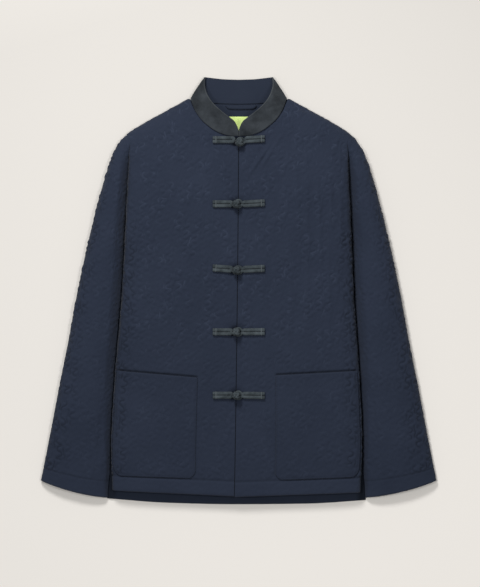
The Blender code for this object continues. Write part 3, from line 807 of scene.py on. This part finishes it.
def weave_height(tree, threads):
    """Height of a plain weave with this many threads to the metre, over the cloth's own UVs."""
    uv = add_node(tree, "ShaderNodeUVMap", {"uv_map": "cloth"})
    parts = add_node(tree, "ShaderNodeSeparateXYZ", Vector=uv.outputs[0])
    turns = [math_node(tree, "MULTIPLY", parts.outputs[axis], math.pi * threads) for axis in range(2)]
    return math_node(tree, "MULTIPLY", *(math_node(tree, "SINE", turn) for turn in turns))


def cloth_material(
    name, dark, light, threads=1100, blotch=(14, 0.9), mottle=540, marked=None, roughness=0.85
):
    """Woven cloth: a fine weave, and blotches given as scale and strength.

    marked gives the colour and share of lines marked above 0: painted shade, painted highlight or a part's
    own tone. Those below 0 take the painted highlight colour.
    """
    made, tree, shader = new_material(name, roughness, CLOTH_SHEEN)
    place = add_node(tree, "ShaderNodeTexCoord").outputs["Object"]
    scale, strength = blotch
    broad = add_node(tree, "ShaderNodeTexNoise", Vector=place, Scale=float(scale), Detail=3.0)
    fine = add_node(tree, "ShaderNodeTexNoise", Vector=place, Scale=float(mottle), Detail=4.0, Roughness=0.7)
    weave = weave_height(tree, threads)
    share = math_node(tree, "MULTIPLY", math_node(tree, "SUBTRACT", broad.outputs[0], 0.5), strength)
    share = math_node(tree, "ADD", share, math_node(tree, "MULTIPLY", fine.outputs[0], MOTTLE_SHARE))
    share = math_node(tree, "ADD", share, math_node(tree, "MULTIPLY", weave, WEAVE_SHARE))
    share = math_node(tree, "ADD", share, LIGHT_SHARE)
    colour = mixed(tree, share, (*dark, 1), (*light, 1))
    if marked:
        mark = add_node(tree, "ShaderNodeAttribute", {"attribute_name": "painted_light_and_tone"})
        amount = math_node(tree, "MULTIPLY", mark.outputs["Fac"], marked[1])
        colour = mixed(tree, amount, colour, (*marked[0], 1))
        # painted highlight mixed in where the marks are below 0
        painted_highlight = math_node(tree, "MULTIPLY", mark.outputs["Fac"], -PAINTED_HIGHLIGHT_SHARE)
        colour = mixed(tree, painted_highlight, colour, (*PAINTED_HIGHLIGHT_COLOUR, 1))
    tree.links.new(colour, shader.inputs["Base Color"])
    height = math_node(tree, "ADD", math_node(tree, "MULTIPLY", weave, 0.5), fine.outputs[0])
    bump = add_node(tree, "ShaderNodeBump", Strength=BUMP_STRENGTH, Distance=BUMP_DEPTH, Height=height)
    tree.links.new(bump.outputs[0], shader.inputs["Normal"])
    return made


NAVY = cloth_material(
    "navy_quilted_cloth", (0.0128, 0.0185, 0.0341), (0.0216, 0.0292, 0.0510), marked=(PAINTED_SHADE_COLOUR, 0.26)
)
# marks on the plain cloth are painted shade: stitched lines and the crevices beside the sleeves
NAVY_PLAIN = cloth_material(
    "navy_plain_cloth", (0.0120, 0.0172, 0.0305), (0.0200, 0.0268, 0.0455), marked=(PAINTED_SHADE_COLOUR, 0.85)
)
# marks on the collar cloth are a painted highlight along its rim
CHARCOAL = cloth_material(
    "charcoal_brushed_cloth",
    (0.0095, 0.012, 0.015),
    (0.037, 0.0435, 0.051),
    blotch=(30, 2.6),
    mottle=260,
    marked=((0.09, 0.10, 0.105), 0.28),
)
CORD = cloth_material(
    "charcoal_cord_cloth",
    (0.0145, 0.0200, 0.0235),
    (0.067, 0.083, 0.093),
    threads=1500,
    blotch=(90, 1.6),
    mottle=330,
    marked=((0.16, 0.18, 0.19), 0.3),
)
THREAD = cloth_material("navy_thread", (0.016, 0.022, 0.039), (0.027, 0.036, 0.060), threads=3000)
LIME = cloth_material("lime_label_tape", (0.66, 0.84, 0.27), (0.76, 0.94, 0.33), threads=1800, roughness=0.6)


# Fronts


def front_cloth(side):
    """Fine grid on a front's face: points, normals, cloth coordinates and distances from its edges."""
    at = np.linspace(0, 1, 500)
    inner_x, inner_y, outer_x, outer_y = front_ends(side, at)
    path = (along(np.column_stack([inner_x, inner_y])) + along(np.column_stack([outer_x, outer_y]))) / 2
    places = spaced(path[-1])
    width = along(front_section(side, 0.3))[-1]
    shares = spaced(width) / width
    rows, coords = [], []
    for row_at in np.interp(places, path, at):
        fine = front_section(side, row_at)
        length = along(fine)[-1]
        rows.append(cut(fine, shares * length))
        slant = np.hypot(*(fine[-1] - fine[0])[:2])
        across = fine[0, 0] + shares * length * (fine[-1, 0] - fine[0, 0]) / slant
        coords.append(np.column_stack([across, rows[-1][0][:, 1]]))
    points, normals = surface(rows)
    lengths = np.array([along(row)[-1] for row in points])
    return points, normals, np.array(coords), shares, places, lengths


def pocket_edges(side, share):
    """Heights of a pocket's mouth and foot at a share of the front's width."""
    mouth_inner, mouth_outer, foot_inner, foot_outer = POCKETS[side]
    outward_share = (share - POCKET_INNER) / (POCKET_OUTER - POCKET_INNER)
    mouth = mouth_inner + outward_share * (mouth_outer - mouth_inner)
    foot = foot_inner + outward_share * (foot_outer - foot_inner)
    return mouth, foot


def pocket_inset(side, share, y, width):
    """How far a point of a front lies inside its pocket's sides and foot, and below its mouth."""
    mouth, foot = pocket_edges(side, share)
    across = np.minimum(share - POCKET_INNER, POCKET_OUTER - share) * width
    above = y - foot
    inside = np.hypot(np.maximum(POCKET_CORNER - across, 0), np.maximum(POCKET_CORNER - above, 0))
    corner = np.minimum(POCKET_CORNER - inside, np.maximum(across, above))
    return np.minimum(np.minimum(across, above), corner), mouth - y


def dress_front(side, name):
    """One front with its hem stitching. Returns what a pocket needs: points, normals and shares of width."""
    points, normals, coords, share, places, lengths = front_cloth(side)
    x, y = points[:, :, 0], points[:, :, 1]
    above_hem = y - points[0, :, 1]
    from_opening = share[None, :] * lengths[:, None]
    amount = smoothstep(HEM_BAND, HEM_BAND + HEM_FADE, above_hem) * smoothstep(*OPENING_FADE, from_opening)
    amount = amount * smoothstep(0, SIDE_FADE, lengths[:, None] - from_opening)
    inset, below_mouth = pocket_inset(side, share[None, :], y, lengths[:, None])
    amount = amount * (1 - smoothstep(-2, 1, np.minimum(inset, below_mouth)))
    pinched = np.zeros_like(x)
    for frog_y, knot_x, knot_y, *_ in FROGS:
        under = smoothstep(*BAR_FADE, np.abs(y - frog_y)) * smoothstep(FROG_REACH + REACH_FADE, FROG_REACH, x)
        amount = amount * (1 - under)
        away = np.hypot(x * side - knot_x, y - frog_y - knot_y)
        pinched += PINCH_DEPTH * np.exp(-((away / PINCH_WIDTH) ** 2))
    near_side = smoothstep(*SIDE_QUILT, x[:, -1:] - x) * smoothstep(*SIDE_QUILT_TOP, y)
    puff = 1 + CHEST_PUFF * smoothstep(*CHEST_RISE, y)
    rise, marks = quilted(coords[:, :, 0] * side, coords[:, :, 1], amount, near_side, puff)
    hem_line = seam_line(above_hem - HEM_BAND, HEM_DIP)
    hem_puff = HEM_PUFF * smoothstep(0, 6, above_hem) * smoothstep(HEM_BAND, HEM_BAND - 6, above_hem)
    inner_side = INNER_LINE + (1 - INNER_LINE) * smoothstep(*INNER_SIDE, share)[None, :]
    out, depth, width = POCKET_LINE
    outline = seam_line(inset + out, depth, width) * smoothstep(-3, 2, below_mouth) * inner_side
    out, depth, width = MOUTH_LINE
    mouth = seam_line(below_mouth + out, depth, width) * smoothstep(-1, 3, inset)
    pocket_lines = np.maximum(outline, mouth)
    rise = rise + hem_puff - hem_line - pocket_lines - pinched + pressed(WRINKLES, x * side, y)
    # painted highlight over the unquilted hem band
    marks = marks - HEM_PAINTED_LIGHT * smoothstep(HEM_BAND, HEM_BAND - 4, above_hem)
    # painted shade in the hem's stitched line and round the pocket and its mouth
    marks = marked_over(marks, np.maximum(hem_line, np.minimum(2 * pocket_lines, MARK_LIMIT)))
    drop = np.maximum(edge_drop(from_opening, OPENING_ROUND), edge_drop(places[:, None]))
    outer = raised(points, rise - drop, normals)
    inner = raised(points, -QUILT_WALL - pinched, normals)
    inner[:, :, 2] = np.maximum(inner[:, :, 2], LANDING)
    piece = cloth_wall(name, outer, inner, coords, marks, NAVY, side)
    finish_piece(piece, "quilted_navy", name, name + "_chest", name + "_side")
    columns = range(0, outer.shape[1], 2)
    stitch_across(f"hem_stitches_{name}", outer, normals, above_hem, HEM_BAND, columns, side)
    return points, normals, share


def stitch_across(name, outer, normals, level, at, columns, side):
    """Stitches across a piece where its level has this value, at the given columns."""
    line, ups = (
        np.concatenate([between(grid[:, j], level[:, j], at) for j in columns]) for grid in (outer, normals)
    )
    add_stitches(name, line, ups, side)


def finish_piece(piece, slot, *nodes):
    if nodes:
        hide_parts(*nodes)


def add_stitches(name, line, ups, side):
    verts, faces = stitches(line, ups)
    if side < 0:
        faces = [face[::-1] for face in faces]
    piece = add_object(name, verts * (side, 1, 1), faces, THREAD, verts[:, :2])
    finish_piece(piece, "quilted_navy")


# Pockets


def dress_pocket(side, name, front):
    """Patch pocket on the front's own points, with a slanted mouth and rounded lower corners."""
    points, normals, share = front
    width = POCKET_WIDTH
    across = spaced(width, True)
    mouth, foot = pocket_edges(side, (POCKET_INNER + POCKET_OUTER) / 2)
    tall = mouth - foot
    down = spaced(tall, True)
    place, normal, coords = [], [], []
    for far in down:
        left = tall - far
        above = min(left, POCKET_CORNER)
        inset = POCKET_CORNER - math.sqrt(POCKET_CORNER**2 - (POCKET_CORNER - above) ** 2)
        columns = inset + across / width * (width - 2 * inset)
        at = POCKET_INNER + columns / width * (POCKET_OUTER - POCKET_INNER)
        mouth, foot = pocket_edges(side, at)
        levels = mouth + far / tall * (foot - mouth)
        row_p, row_n = on_front(points, normals, share, at, levels)
        place.append(row_p)
        normal.append(unit(row_n))
        coords.append(np.column_stack([columns + POCKET_PLACE, levels]))
    place, normal, coords = np.array(place), np.array(normal), np.array(coords)
    sides = np.minimum(across, width - across)[None, :] * np.ones((len(down), 1))
    corner = np.minimum(sides, (tall - down)[:, None])
    from_mouth = down[:, None] * np.ones((1, len(across)))
    edge = np.minimum(corner, from_mouth)
    amount = smoothstep(POCKET_STITCH, POCKET_STITCH + 4, corner) * smoothstep(1.5, 5, from_mouth)
    near_side = smoothstep(*SIDE_QUILT, width - across)[None, :]
    a, b = np.moveaxis(coords + POCKET_SHIFT, -1, 0)
    rise, marks = quilted(a * side, b, amount, near_side)
    line = seam_line(corner - POCKET_STITCH, *POCKET_DIP)
    # painted shade in the pocket's edge stitching
    marks = marked_over(marks, 0.8 * line)
    lift = POCKET_LIFT * np.exp(-from_mouth / LIFT_LENGTH) * smoothstep(0, 24, sides)
    base = raised(place, POCKET_GAP + lift, normal)
    outer = raised(base, POCKET_WALL + rise - line - edge_drop(edge), normal)
    piece = cloth_wall(name, outer[::-1], base[::-1], coords[::-1], marks[::-1], NAVY, side)
    finish_piece(piece, "quilted_navy", name)
    j = int(np.argmin(np.abs(across - POCKET_STITCH)))
    i = len(down) - 1 - int(np.argmin(np.abs(down - POCKET_STITCH)))
    route = [(k, j) for k in range(2, i)] + [(i, k) for k in range(j, len(across) - j)]
    route += [(k, len(across) - 1 - j) for k in range(i, 1, -1)]
    rows, columns = zip(*route)
    add_stitches(f"pocket_stitches_{name}", outer[rows, columns], normal[rows, columns], side)


def on_front(points, normals, share, at, levels):
    """Points and normals of a front at shares of its width and heights along it."""
    found = []
    for s, level in zip(at, levels):
        j = int(np.clip(np.searchsorted(share, s) - 1, 0, len(share) - 2))
        t = (s - share[j]) / (share[j + 1] - share[j])
        line, ups = (grid[:, j] * (1 - t) + grid[:, j + 1] * t for grid in (points, normals))
        found.append([between(values, line[:, 1], level)[0] for values in (line, ups)])
    return np.moveaxis(np.array(found), 1, 0)


# Sleeves


def dress_sleeve(side, name):
    """One sleeve, a tube in four stretches, with its cuff stitching."""
    at = np.linspace(0, 1, 400)
    inner = np.column_stack([sleeve_edge(SLEEVE("inner_y", at)), SLEEVE("inner_y", at)])
    outer = np.column_stack([OUTLINE("x", SLEEVE("outer_y", at)), SLEEVE("outer_y", at)])
    path = (along(inner) + along(outer)) / 2
    places = path[-1] - spaced(path[-1])[::-1]
    counts = (round(SLEEVE_TOP / PITCH), *SLEEVE_COUNTS)
    rows, coords, walls = [], [], []
    for row_at in np.interp(places, path, at):
        stretches = sleeve_section(side, row_at)
        ends = np.cumsum([0] + [along(stretch)[-1] for stretch in stretches])
        steps = [np.linspace(a, b, n + 1)[1:] for a, b, n in zip(ends, ends[1:], counts)]
        fine = np.concatenate([stretches[0]] + [stretch[1:] for stretch in stretches[1:]])
        distance = np.concatenate([[0], *steps])
        rows.append(cut(fine, distance))
        coords.append(np.column_stack([fine[0, 0] + distance, rows[-1][0][:, 1]]))
        from_edge = np.minimum(distance, distance[-1] - distance)
        walls.append(EDGE_WALL + (QUILT_WALL - EDGE_WALL) * smoothstep(0, WALL_FADE, from_edge))
    points, normals = surface(rows)
    normals = -normals
    coords = np.array(coords)
    top = counts[0]
    column = np.arange(points.shape[1])
    from_cuff = (path[-1] - places)[:, None] * np.ones((1, len(column)))
    fade = smoothstep(0, 4, column) * smoothstep(top, top - 6, column)
    amount = smoothstep(CUFF_BAND, CUFF_BAND + HEM_FADE, from_cuff) * fade[None, :]
    amount = amount * smoothstep(0, SLEEVE_FADE, places)[:, None]
    near_fold = (smoothstep(0.5, 0.8, column / top) * smoothstep(1, 0.93, column / top))[None, :]
    a, b = np.moveaxis(coords + SLEEVE_SHIFT, -1, 0)
    rise, marks = quilted(a * side, b, amount, near_fold)
    line = seam_line(from_cuff - CUFF_BAND, CUFF_DIP) * smoothstep(top + 6, top + 1, column)[None, :]
    # painted shade in the cuff's stitched line
    marks = marked_over(marks, line)
    drop = edge_drop(from_cuff) * (column <= top + 6)[None, :]
    outer = raised(points, rise - line - drop, normals)[::-1]
    outer[:, :, 2] = np.maximum(outer[:, :, 2], 0)
    inner = raised(points, -np.array(walls), normals)[::-1]
    piece = cloth_wall(name, outer, inner, coords[::-1], marks[::-1], NAVY, side)
    finish_piece(piece, "quilted_navy", name)
    columns = range(2, top + 4, 2)
    stitch_across(f"cuff_stitches_{name}", outer, normals[::-1], from_cuff[::-1], CUFF_BAND, columns, side)


# Back


def dress_back():
    """Back panel, flat on the surface from hem to shoulder and neck."""
    half = np.concatenate([np.linspace(0, 0.96, 49), [0.972, 0.982, 0.99, 0.996, 1]])
    shares = np.concatenate([-half[:0:-1], half])
    across = np.abs(shares) * float(back_edge(SHOULDER_Y))
    outline = OUTLINE.columns
    shoulder = np.interp(-across, -outline["x"], outline["y"])
    top = np.minimum(BACK_NECK("y", across), shoulder)
    foot = BACK_HEM("y", shares * float(back_edge(BACK_SIDE_Y)))
    length = SHOULDER_Y - BACK_SIDE_Y
    places = np.concatenate([[0, 0.4, 1, 2], np.linspace(4, length, 160)])
    rows, shade = [], []
    for up in places / length:
        y = foot + up * (top - foot)
        from_side = (1 - np.abs(shares)) * back_edge(y)
        from_edge = np.minimum(from_side, BACK_NECK("y", across) - y)
        z = BACK_WALL - BACK_TAPER * smoothstep(TAPER_WIDTH, 0, from_edge)
        rows.append(np.column_stack([shares * back_edge(y) + lean(y), y, z]))
        shade.append(smoothstep(*CREVICE_PAINTED_SHADE, from_side))
    outer = np.array(rows)
    inner = outer * (1, 1, 0)
    above = places[:, None] * np.ones((1, len(shares)))
    outer[:, :, 2] -= edge_drop(above, THIN_ROUND) + seam_line(above - HEM_BAND, 0.4)
    # painted shade: the back's hem line, and its sides in the crevice beside the sleeves
    marks = np.maximum(0.3 * seam_line(above - HEM_BAND, 1.0), shade)
    piece = cloth_wall("back", outer, inner, outer[:, :, :2].copy(), marks, NAVY_PLAIN)
    finish_piece(piece, "quilted_navy", "back")


# Collar


def collar_grid():
    """Fine grid through the middle of the collar's thickness, all round, with outward normals."""
    at = np.linspace(0, COLLAR.columns["at"][-1], 400)
    edges = [np.column_stack([COLLAR(edge + axis, at) for axis in "xyz"]) for edge in ("seam_", "top_")]
    distance = along((edges[0] + edges[1]) / 2)
    places = spaced(distance[-1])
    half = np.stack([between(edge, distance, places) for edge in edges], axis=1)
    whole = np.concatenate([half, (half * (-1, 1, 1))[-2::-1]])
    up = spaced(COLLAR_HEIGHT, True)
    points = whole[:, :1] + (up / COLLAR_HEIGHT)[None, :, None] * (whole[:, 1:] - whole[:, :1])
    normals = unit(np.cross(np.gradient(points, axis=0), np.gradient(points, axis=1)))
    run = np.concatenate([places, 2 * distance[-1] - places[-2::-1]])
    return points, normals, run, up


def dress_collar():
    """Outer band and lining of the stand collar, back to back about its middle."""
    points, normals, run, up = collar_grid()
    from_end = np.minimum(run, run[-1] - run)[:, None] * np.ones((1, len(up)))
    from_rim = np.minimum(from_end, COLLAR_HEIGHT - up)
    edge = np.minimum(from_rim, up)
    coords = np.stack(np.meshgrid(run, up, indexing="ij"), axis=-1)
    line = seam_line(from_rim - COLLAR_STITCH, *COLLAR_DIP)
    plump = COLLAR_PLUMP * smoothstep(0, 12, edge)
    creased = smoothstep(1, 5, edge) * pressed(COLLAR_CREASES, points[:, :, 0], points[:, :, 1])
    half_gap = SEAM_GAP / 2
    thick = half_gap + COLLAR_WALL + plump - creased - line - edge_drop(edge, COLLAR_ROUND)
    outer = raised(points, thick, normals)
    outer[:, :, 2] = np.maximum(outer[:, :, 2], 0)
    base = points + half_gap * normals
    # painted highlight along the collar's rim
    rim = smoothstep(*COLLAR_RIM_HIGHLIGHT, from_rim)
    piece = cloth_wall("collar", outer[:, ::-1], base[:, ::-1], coords[:, ::-1], rim[:, ::-1], CHARCOAL)
    finish_piece(piece, "collar_cloth", "collar")
    thick = half_gap + LINING_WALL + LINING_PLUMP * plump - edge_drop(edge, THIN_ROUND)
    inner = raised(points, -thick, normals)
    base = points - half_gap * normals
    # the lining's marks are painted shade in its stitched line
    piece = cloth_wall("collar_lining", inner, base, coords, 0.3 * line, NAVY_PLAIN)
    finish_piece(piece, "plain_navy", "collar_lining")


# Neck trimmings


def dress_hanger():
    """Strap that stands on the back along its middle line."""
    line = np.array(HANGER)
    distance = along(line)
    table = Table("at x y", *zip(distance, *line.T))
    steps = np.linspace(0, distance[-1], 60)
    height = np.full_like(steps, LANDING + HANGER_HEIGHT / 2)
    path = np.column_stack([table("x", steps), table("y", steps), height])
    verts, faces = tube(path, UP, HANGER_WIDTH, HANGER_HEIGHT, 16)
    piece = add_object("hanger_loop", verts, faces, NAVY_PLAIN, verts[:, :2])
    finish_piece(piece, "plain_navy", "hanger_loop")


def dress_label():
    """Plain woven label, sewn down along its short ends."""
    wide, tall = LABEL_SIZE
    across, up = spaced(wide, True), spaced(tall, True)
    x, y = np.meshgrid(across, up, indexing="xy")
    edge = np.minimum(np.minimum(x, wide - x), np.minimum(y, tall - y))
    wave = 0.25 * np.sin(x / 7) * np.sin(y / 5) + 0.3
    z = LANDING + LABEL_WALL + wave - edge_drop(edge, LABEL_WALL)
    outer = np.stack([x + LABEL_MIDDLE[0] - wide / 2, y + LABEL_MIDDLE[1] - tall / 2, z], axis=-1)
    inner = outer.copy()
    inner[:, :, 2] = LANDING - 0.2
    piece = cloth_wall("neck_label", outer, inner, np.stack([x, y], axis=-1), np.zeros_like(x), LIME)
    finish_piece(piece, "label", "neck_label")


# Frogs


def turn_round(middle, radius, first, last, steps, power=1.0):
    angles = np.radians(np.linspace(first, last, steps))
    turn = np.column_stack([squared(np.cos(angles), power), squared(np.sin(angles), power)])
    return np.array(middle) + radius * turn


def straight(start, end):
    """Points between two ends, about a millimetre apart, without the ends."""
    count = max(2, round(abs(end[0] - start[0])))
    return np.linspace(start, end, count, endpoint=False)[1:]


def bar_path(end, near, *middle):
    """Doubled cord of a bar: in from its far end, through the middle stretches, and out again."""
    far, tip = end * FROG_REACH, end * (FROG_REACH - BAR_TIP)
    stretches = [
        [(far, CORD_SPREAD), (tip, CORD_SPREAD)],
        straight((far, CORD_SPREAD), (near, CORD_SPREAD)),
        *middle,
        straight((near, -CORD_SPREAD), (far, -CORD_SPREAD)),
        [(tip, -CORD_SPREAD), (far, -CORD_SPREAD)],
    ]
    return np.concatenate(stretches)


def tilted(path, tilt):
    """Bar turned a little about its end at the knot."""
    beyond = np.maximum(np.abs(path[:, 0]) - TILT_START, 0)
    return path + np.column_stack([0 * beyond, math.tan(math.radians(tilt)) * beyond])


def seated(verts, seat, slope):
    """Frog turned to the slope of the front and set down on it."""
    rise, run = math.sin(slope), math.cos(slope)
    turned = np.array([[1, 0, 0], [0, run, -rise], [0, rise, run]])
    return verts @ turned.T + seat


def frog_cord(name, path, widths, end, tilt, seat, slope):
    """Doubled cord of a frog bar on the front, with the binding near its end."""
    line = np.column_stack([tilted(path, tilt), np.full(len(path), CORD_HEIGHT / 2)])
    widths = widths * np.interp(np.abs(path[:, 0]), (FROG_REACH - TIP_LENGTH, FROG_REACH), (1, TIP_TAPER))
    heights = CORD_HEIGHT * (0.4 + 0.6 * widths / CORD_WIDTH)
    parts = [tube(line, UP, widths, heights, 18, power=0.75)]
    steps = np.linspace(0, 1, 9)
    wraps = 1 - BAND_SWELL + BAND_SWELL * np.sqrt(1 - (2 * steps - 1) ** 2)
    spine = np.column_stack([end * (FROG_REACH - BAND_PLACE - BAND_LENGTH * steps), 0 * steps])
    spine = np.column_stack([tilted(spine, tilt), np.full(len(steps), CORD_HEIGHT / 2)])
    wide = (2 * CORD_SPREAD + CORD_WIDTH + BAND_OVER[0]) * wraps
    high = (CORD_HEIGHT + BAND_OVER[1]) * wraps
    parts.append(tube(spine, UP, wide, high, 28, power=0.6))
    verts, faces = joined(parts)
    verts = seated(verts, seat, slope)
    marks = np.arange(len(verts)) >= len(parts[0][0])
    piece = add_object(name, verts, faces, CORD, verts[:, :2], marks)
    finish_piece(piece, "frog_cord", name)


def frog_knot(name, place, seat, slope):
    """Button knot: a cord woven round a core, in a three-lead Turk's head."""
    t = np.linspace(0, 2 * math.pi * KNOT_TURNS, 240, endpoint=False)
    latitude = np.radians(KNOT_LATITUDE) * np.cos(KNOT_BIGHTS * t / KNOT_TURNS)
    radius = KNOT_CORE + KNOT_WEAVE * np.sin(2 * KNOT_BIGHTS * t / KNOT_TURNS)
    level = np.cos(latitude)
    ways = np.column_stack([level * np.cos(t), level * np.sin(t), np.sin(latitude)])
    parts = [tube(ways * radius[:, None], ways, 2 * KNOT_CORD, 1.9 * KNOT_CORD, 10, True)]
    poles = np.radians(np.linspace(-90, 90, 13))
    inside = KNOT_CORE - 0.2
    spine = np.column_stack([0 * poles, 0 * poles, np.sin(poles)]) * inside
    thick = np.maximum(np.cos(poles), 0.02) * 2 * inside
    parts.append(tube(spine, (0.0, 1.0, 0.0), thick, thick, 20))
    verts, faces = joined(parts)
    verts = seated(verts * (1, 1, KNOT_FLATNESS) + (*place, KNOT_LIFT), seat, slope)
    piece = add_object(name, verts, faces, CORD, verts[:, :2])
    finish_piece(piece, "frog_cord", name)


def dress_frog(number, y, knot_x, knot_y, eye_x, eye_y, tail_tilt, loop_tilt):
    """One closure: a doubled cord on the right front, a doubled loop on the left, and the knot."""
    seat = np.array([0, y, float(HEIGHT("middle", y)) + SEAM_GAP])
    slope = math.atan((HEIGHT("middle", y + 10) - HEIGHT("middle", y - 10)) / 20)
    near = eye_x + EYE_RADIUS + EYE_NECK
    eye = turn_round((eye_x, eye_y), EYE_RADIUS, EYE_OPENING, 360 - EYE_OPENING, 52)
    pull_x, pull_y = EYE_PULL
    upper, upper_pull = (near, CORD_SPREAD), (near - NECK_PULL, CORD_SPREAD)
    lower, lower_pull = (near, -CORD_SPREAD), (near - NECK_PULL, -CORD_SPREAD)
    come = bend(upper, upper_pull, eye[0] + (pull_x, -pull_y), eye[0], 12)[:-1]
    leave = bend(eye[-1], eye[-1] + (pull_x, pull_y), lower_pull, lower, 12)[1:]
    loop = bar_path(1, near, come, eye, leave)
    widths = EYE_CORD + (CORD_WIDTH - EYE_CORD) * smoothstep(eye_x + EYE_RADIUS, near + 1, loop[:, 0])
    frog_cord(f"frog_{number}_loop", loop, widths, 1, loop_tilt, seat, slope)
    near = eye_x - EYE_RADIUS - EYE_CORD / 2 - SEAM_GAP - CORD_WIDTH / 2 - CORD_SPREAD
    tail = bar_path(-1, near, turn_round((near, 0), CORD_SPREAD, 90, -90, 14, 0.7))
    frog_cord(f"frog_{number}_tail", tail, np.full(len(tail), CORD_WIDTH), -1, -tail_tilt, seat, slope)
    frog_knot(f"frog_{number}_knot", (knot_x, knot_y), seat, slope)


# Stage

FLOOR_COLOUR = (0.760, 0.729, 0.6865)
FLOOR_SLOPE = (0.113, -0.370)  # gain of the floor's colour to the metre, across and up
FLOOR_RANGE = (0.8, 1.25)  # least and greatest share of the colour
FLOOR_REACH, FLOOR_DROP = 9.0, 0.0003  # in metres


def add_stage():
    """Pale surface, painted a little darker towards the window so that it looks even."""
    mesh = bpy.data.meshes.new("floor")
    corners = np.array([(-1, -1, 0), (1, -1, 0), (1, 1, 0), (-1, 1, 0)]) * FLOOR_REACH
    mesh.from_pydata(corners.tolist(), [], [(0, 1, 2, 3)])
    made, tree, shader = new_material("pale_floor", 0.9, 0.0)
    place = add_node(tree, "ShaderNodeTexCoord").outputs["Object"]
    parts = add_node(tree, "ShaderNodeSeparateXYZ", Vector=place)
    across = math_node(tree, "MULTIPLY", parts.outputs[0], FLOOR_SLOPE[0])
    up = math_node(tree, "MULTIPLY", parts.outputs[1], FLOOR_SLOPE[1])
    level = math_node(tree, "ADD", math_node(tree, "ADD", across, up), 1.0)
    level = math_node(tree, "MAXIMUM", level, FLOOR_RANGE[0])
    level = math_node(tree, "MINIMUM", level, FLOOR_RANGE[1])
    colour = add_node(tree, "ShaderNodeVectorMath", {"operation": "SCALE"}, Vector=FLOOR_COLOUR, Scale=level)
    tree.links.new(colour.outputs[0], shader.inputs["Base Color"])
    mesh.materials.append(made)
    floor = bpy.data.objects.new("floor", mesh)
    floor.location.z = -FLOOR_DROP
    bpy.context.scene.collection.objects.link(floor)


def add_light(name, place, size, power):
    data = bpy.data.lights.new(name, "AREA")
    data.shape = "DISK"
    data.size = size
    data.energy = power
    lamp = bpy.data.objects.new(name, data)
    lamp.location = place
    lamp.rotation_euler = lamp.location.to_track_quat("Z", "Y").to_euler()
    bpy.context.scene.collection.objects.link(lamp)


def add_lights():
    world = bpy.data.worlds.new("studio")
    world.use_nodes = True
    background = world.node_tree.nodes["Background"]
    background.inputs["Color"].default_value = (1, 1, 1, 1)
    background.inputs["Strength"].default_value = 0.227
    bpy.context.scene.world = world
    add_light("window_light", (-0.5, 1.5, 1.55), 0.6, 33)
    add_light("right_soft_light", (-1.3, 0.1, 3.5), 0.8, 30.5)
    add_light("left_soft_light", (1.3, 0.1, 3.5), 0.8, 30.5)


PIXEL, PHOTO_WIDTH = 1.75, 480  # millimetres to a pixel of the photo, and its width in pixels
SENSOR_WIDTH = 36.0
VIEW_MIDDLE = (2.3, -5.2)  # place under the camera
VIEW_HEIGHT = 5.0  # in metres


def add_camera():
    data = bpy.data.cameras.new("camera")
    data.sensor_fit = "HORIZONTAL"
    data.sensor_width = SENSOR_WIDTH
    data.lens = SENSOR_WIDTH * VIEW_HEIGHT / (PHOTO_WIDTH * PIXEL * MM)
    data.clip_end = 50
    camera = bpy.data.objects.new("camera", data)
    camera.location = (VIEW_MIDDLE[0] * MM, VIEW_MIDDLE[1] * MM, VIEW_HEIGHT)
    bpy.context.scene.collection.objects.link(camera)
    bpy.context.scene.camera = camera


bpy.context.scene.view_settings.view_transform = "Standard"
add_stage()
add_lights()
add_camera()
dress_back()
for wearer_side, side_name in ((1, "left"), (-1, "right")):
    dressed = dress_front(wearer_side, f"front_{side_name}")
    dress_pocket(wearer_side, f"pocket_{side_name}", dressed)
    dress_sleeve(wearer_side, f"sleeve_{side_name}")
dress_collar()
dress_hanger()
dress_label()
for frog_number, frog in enumerate(FROGS, 1):
    dress_frog(frog_number, *frog)
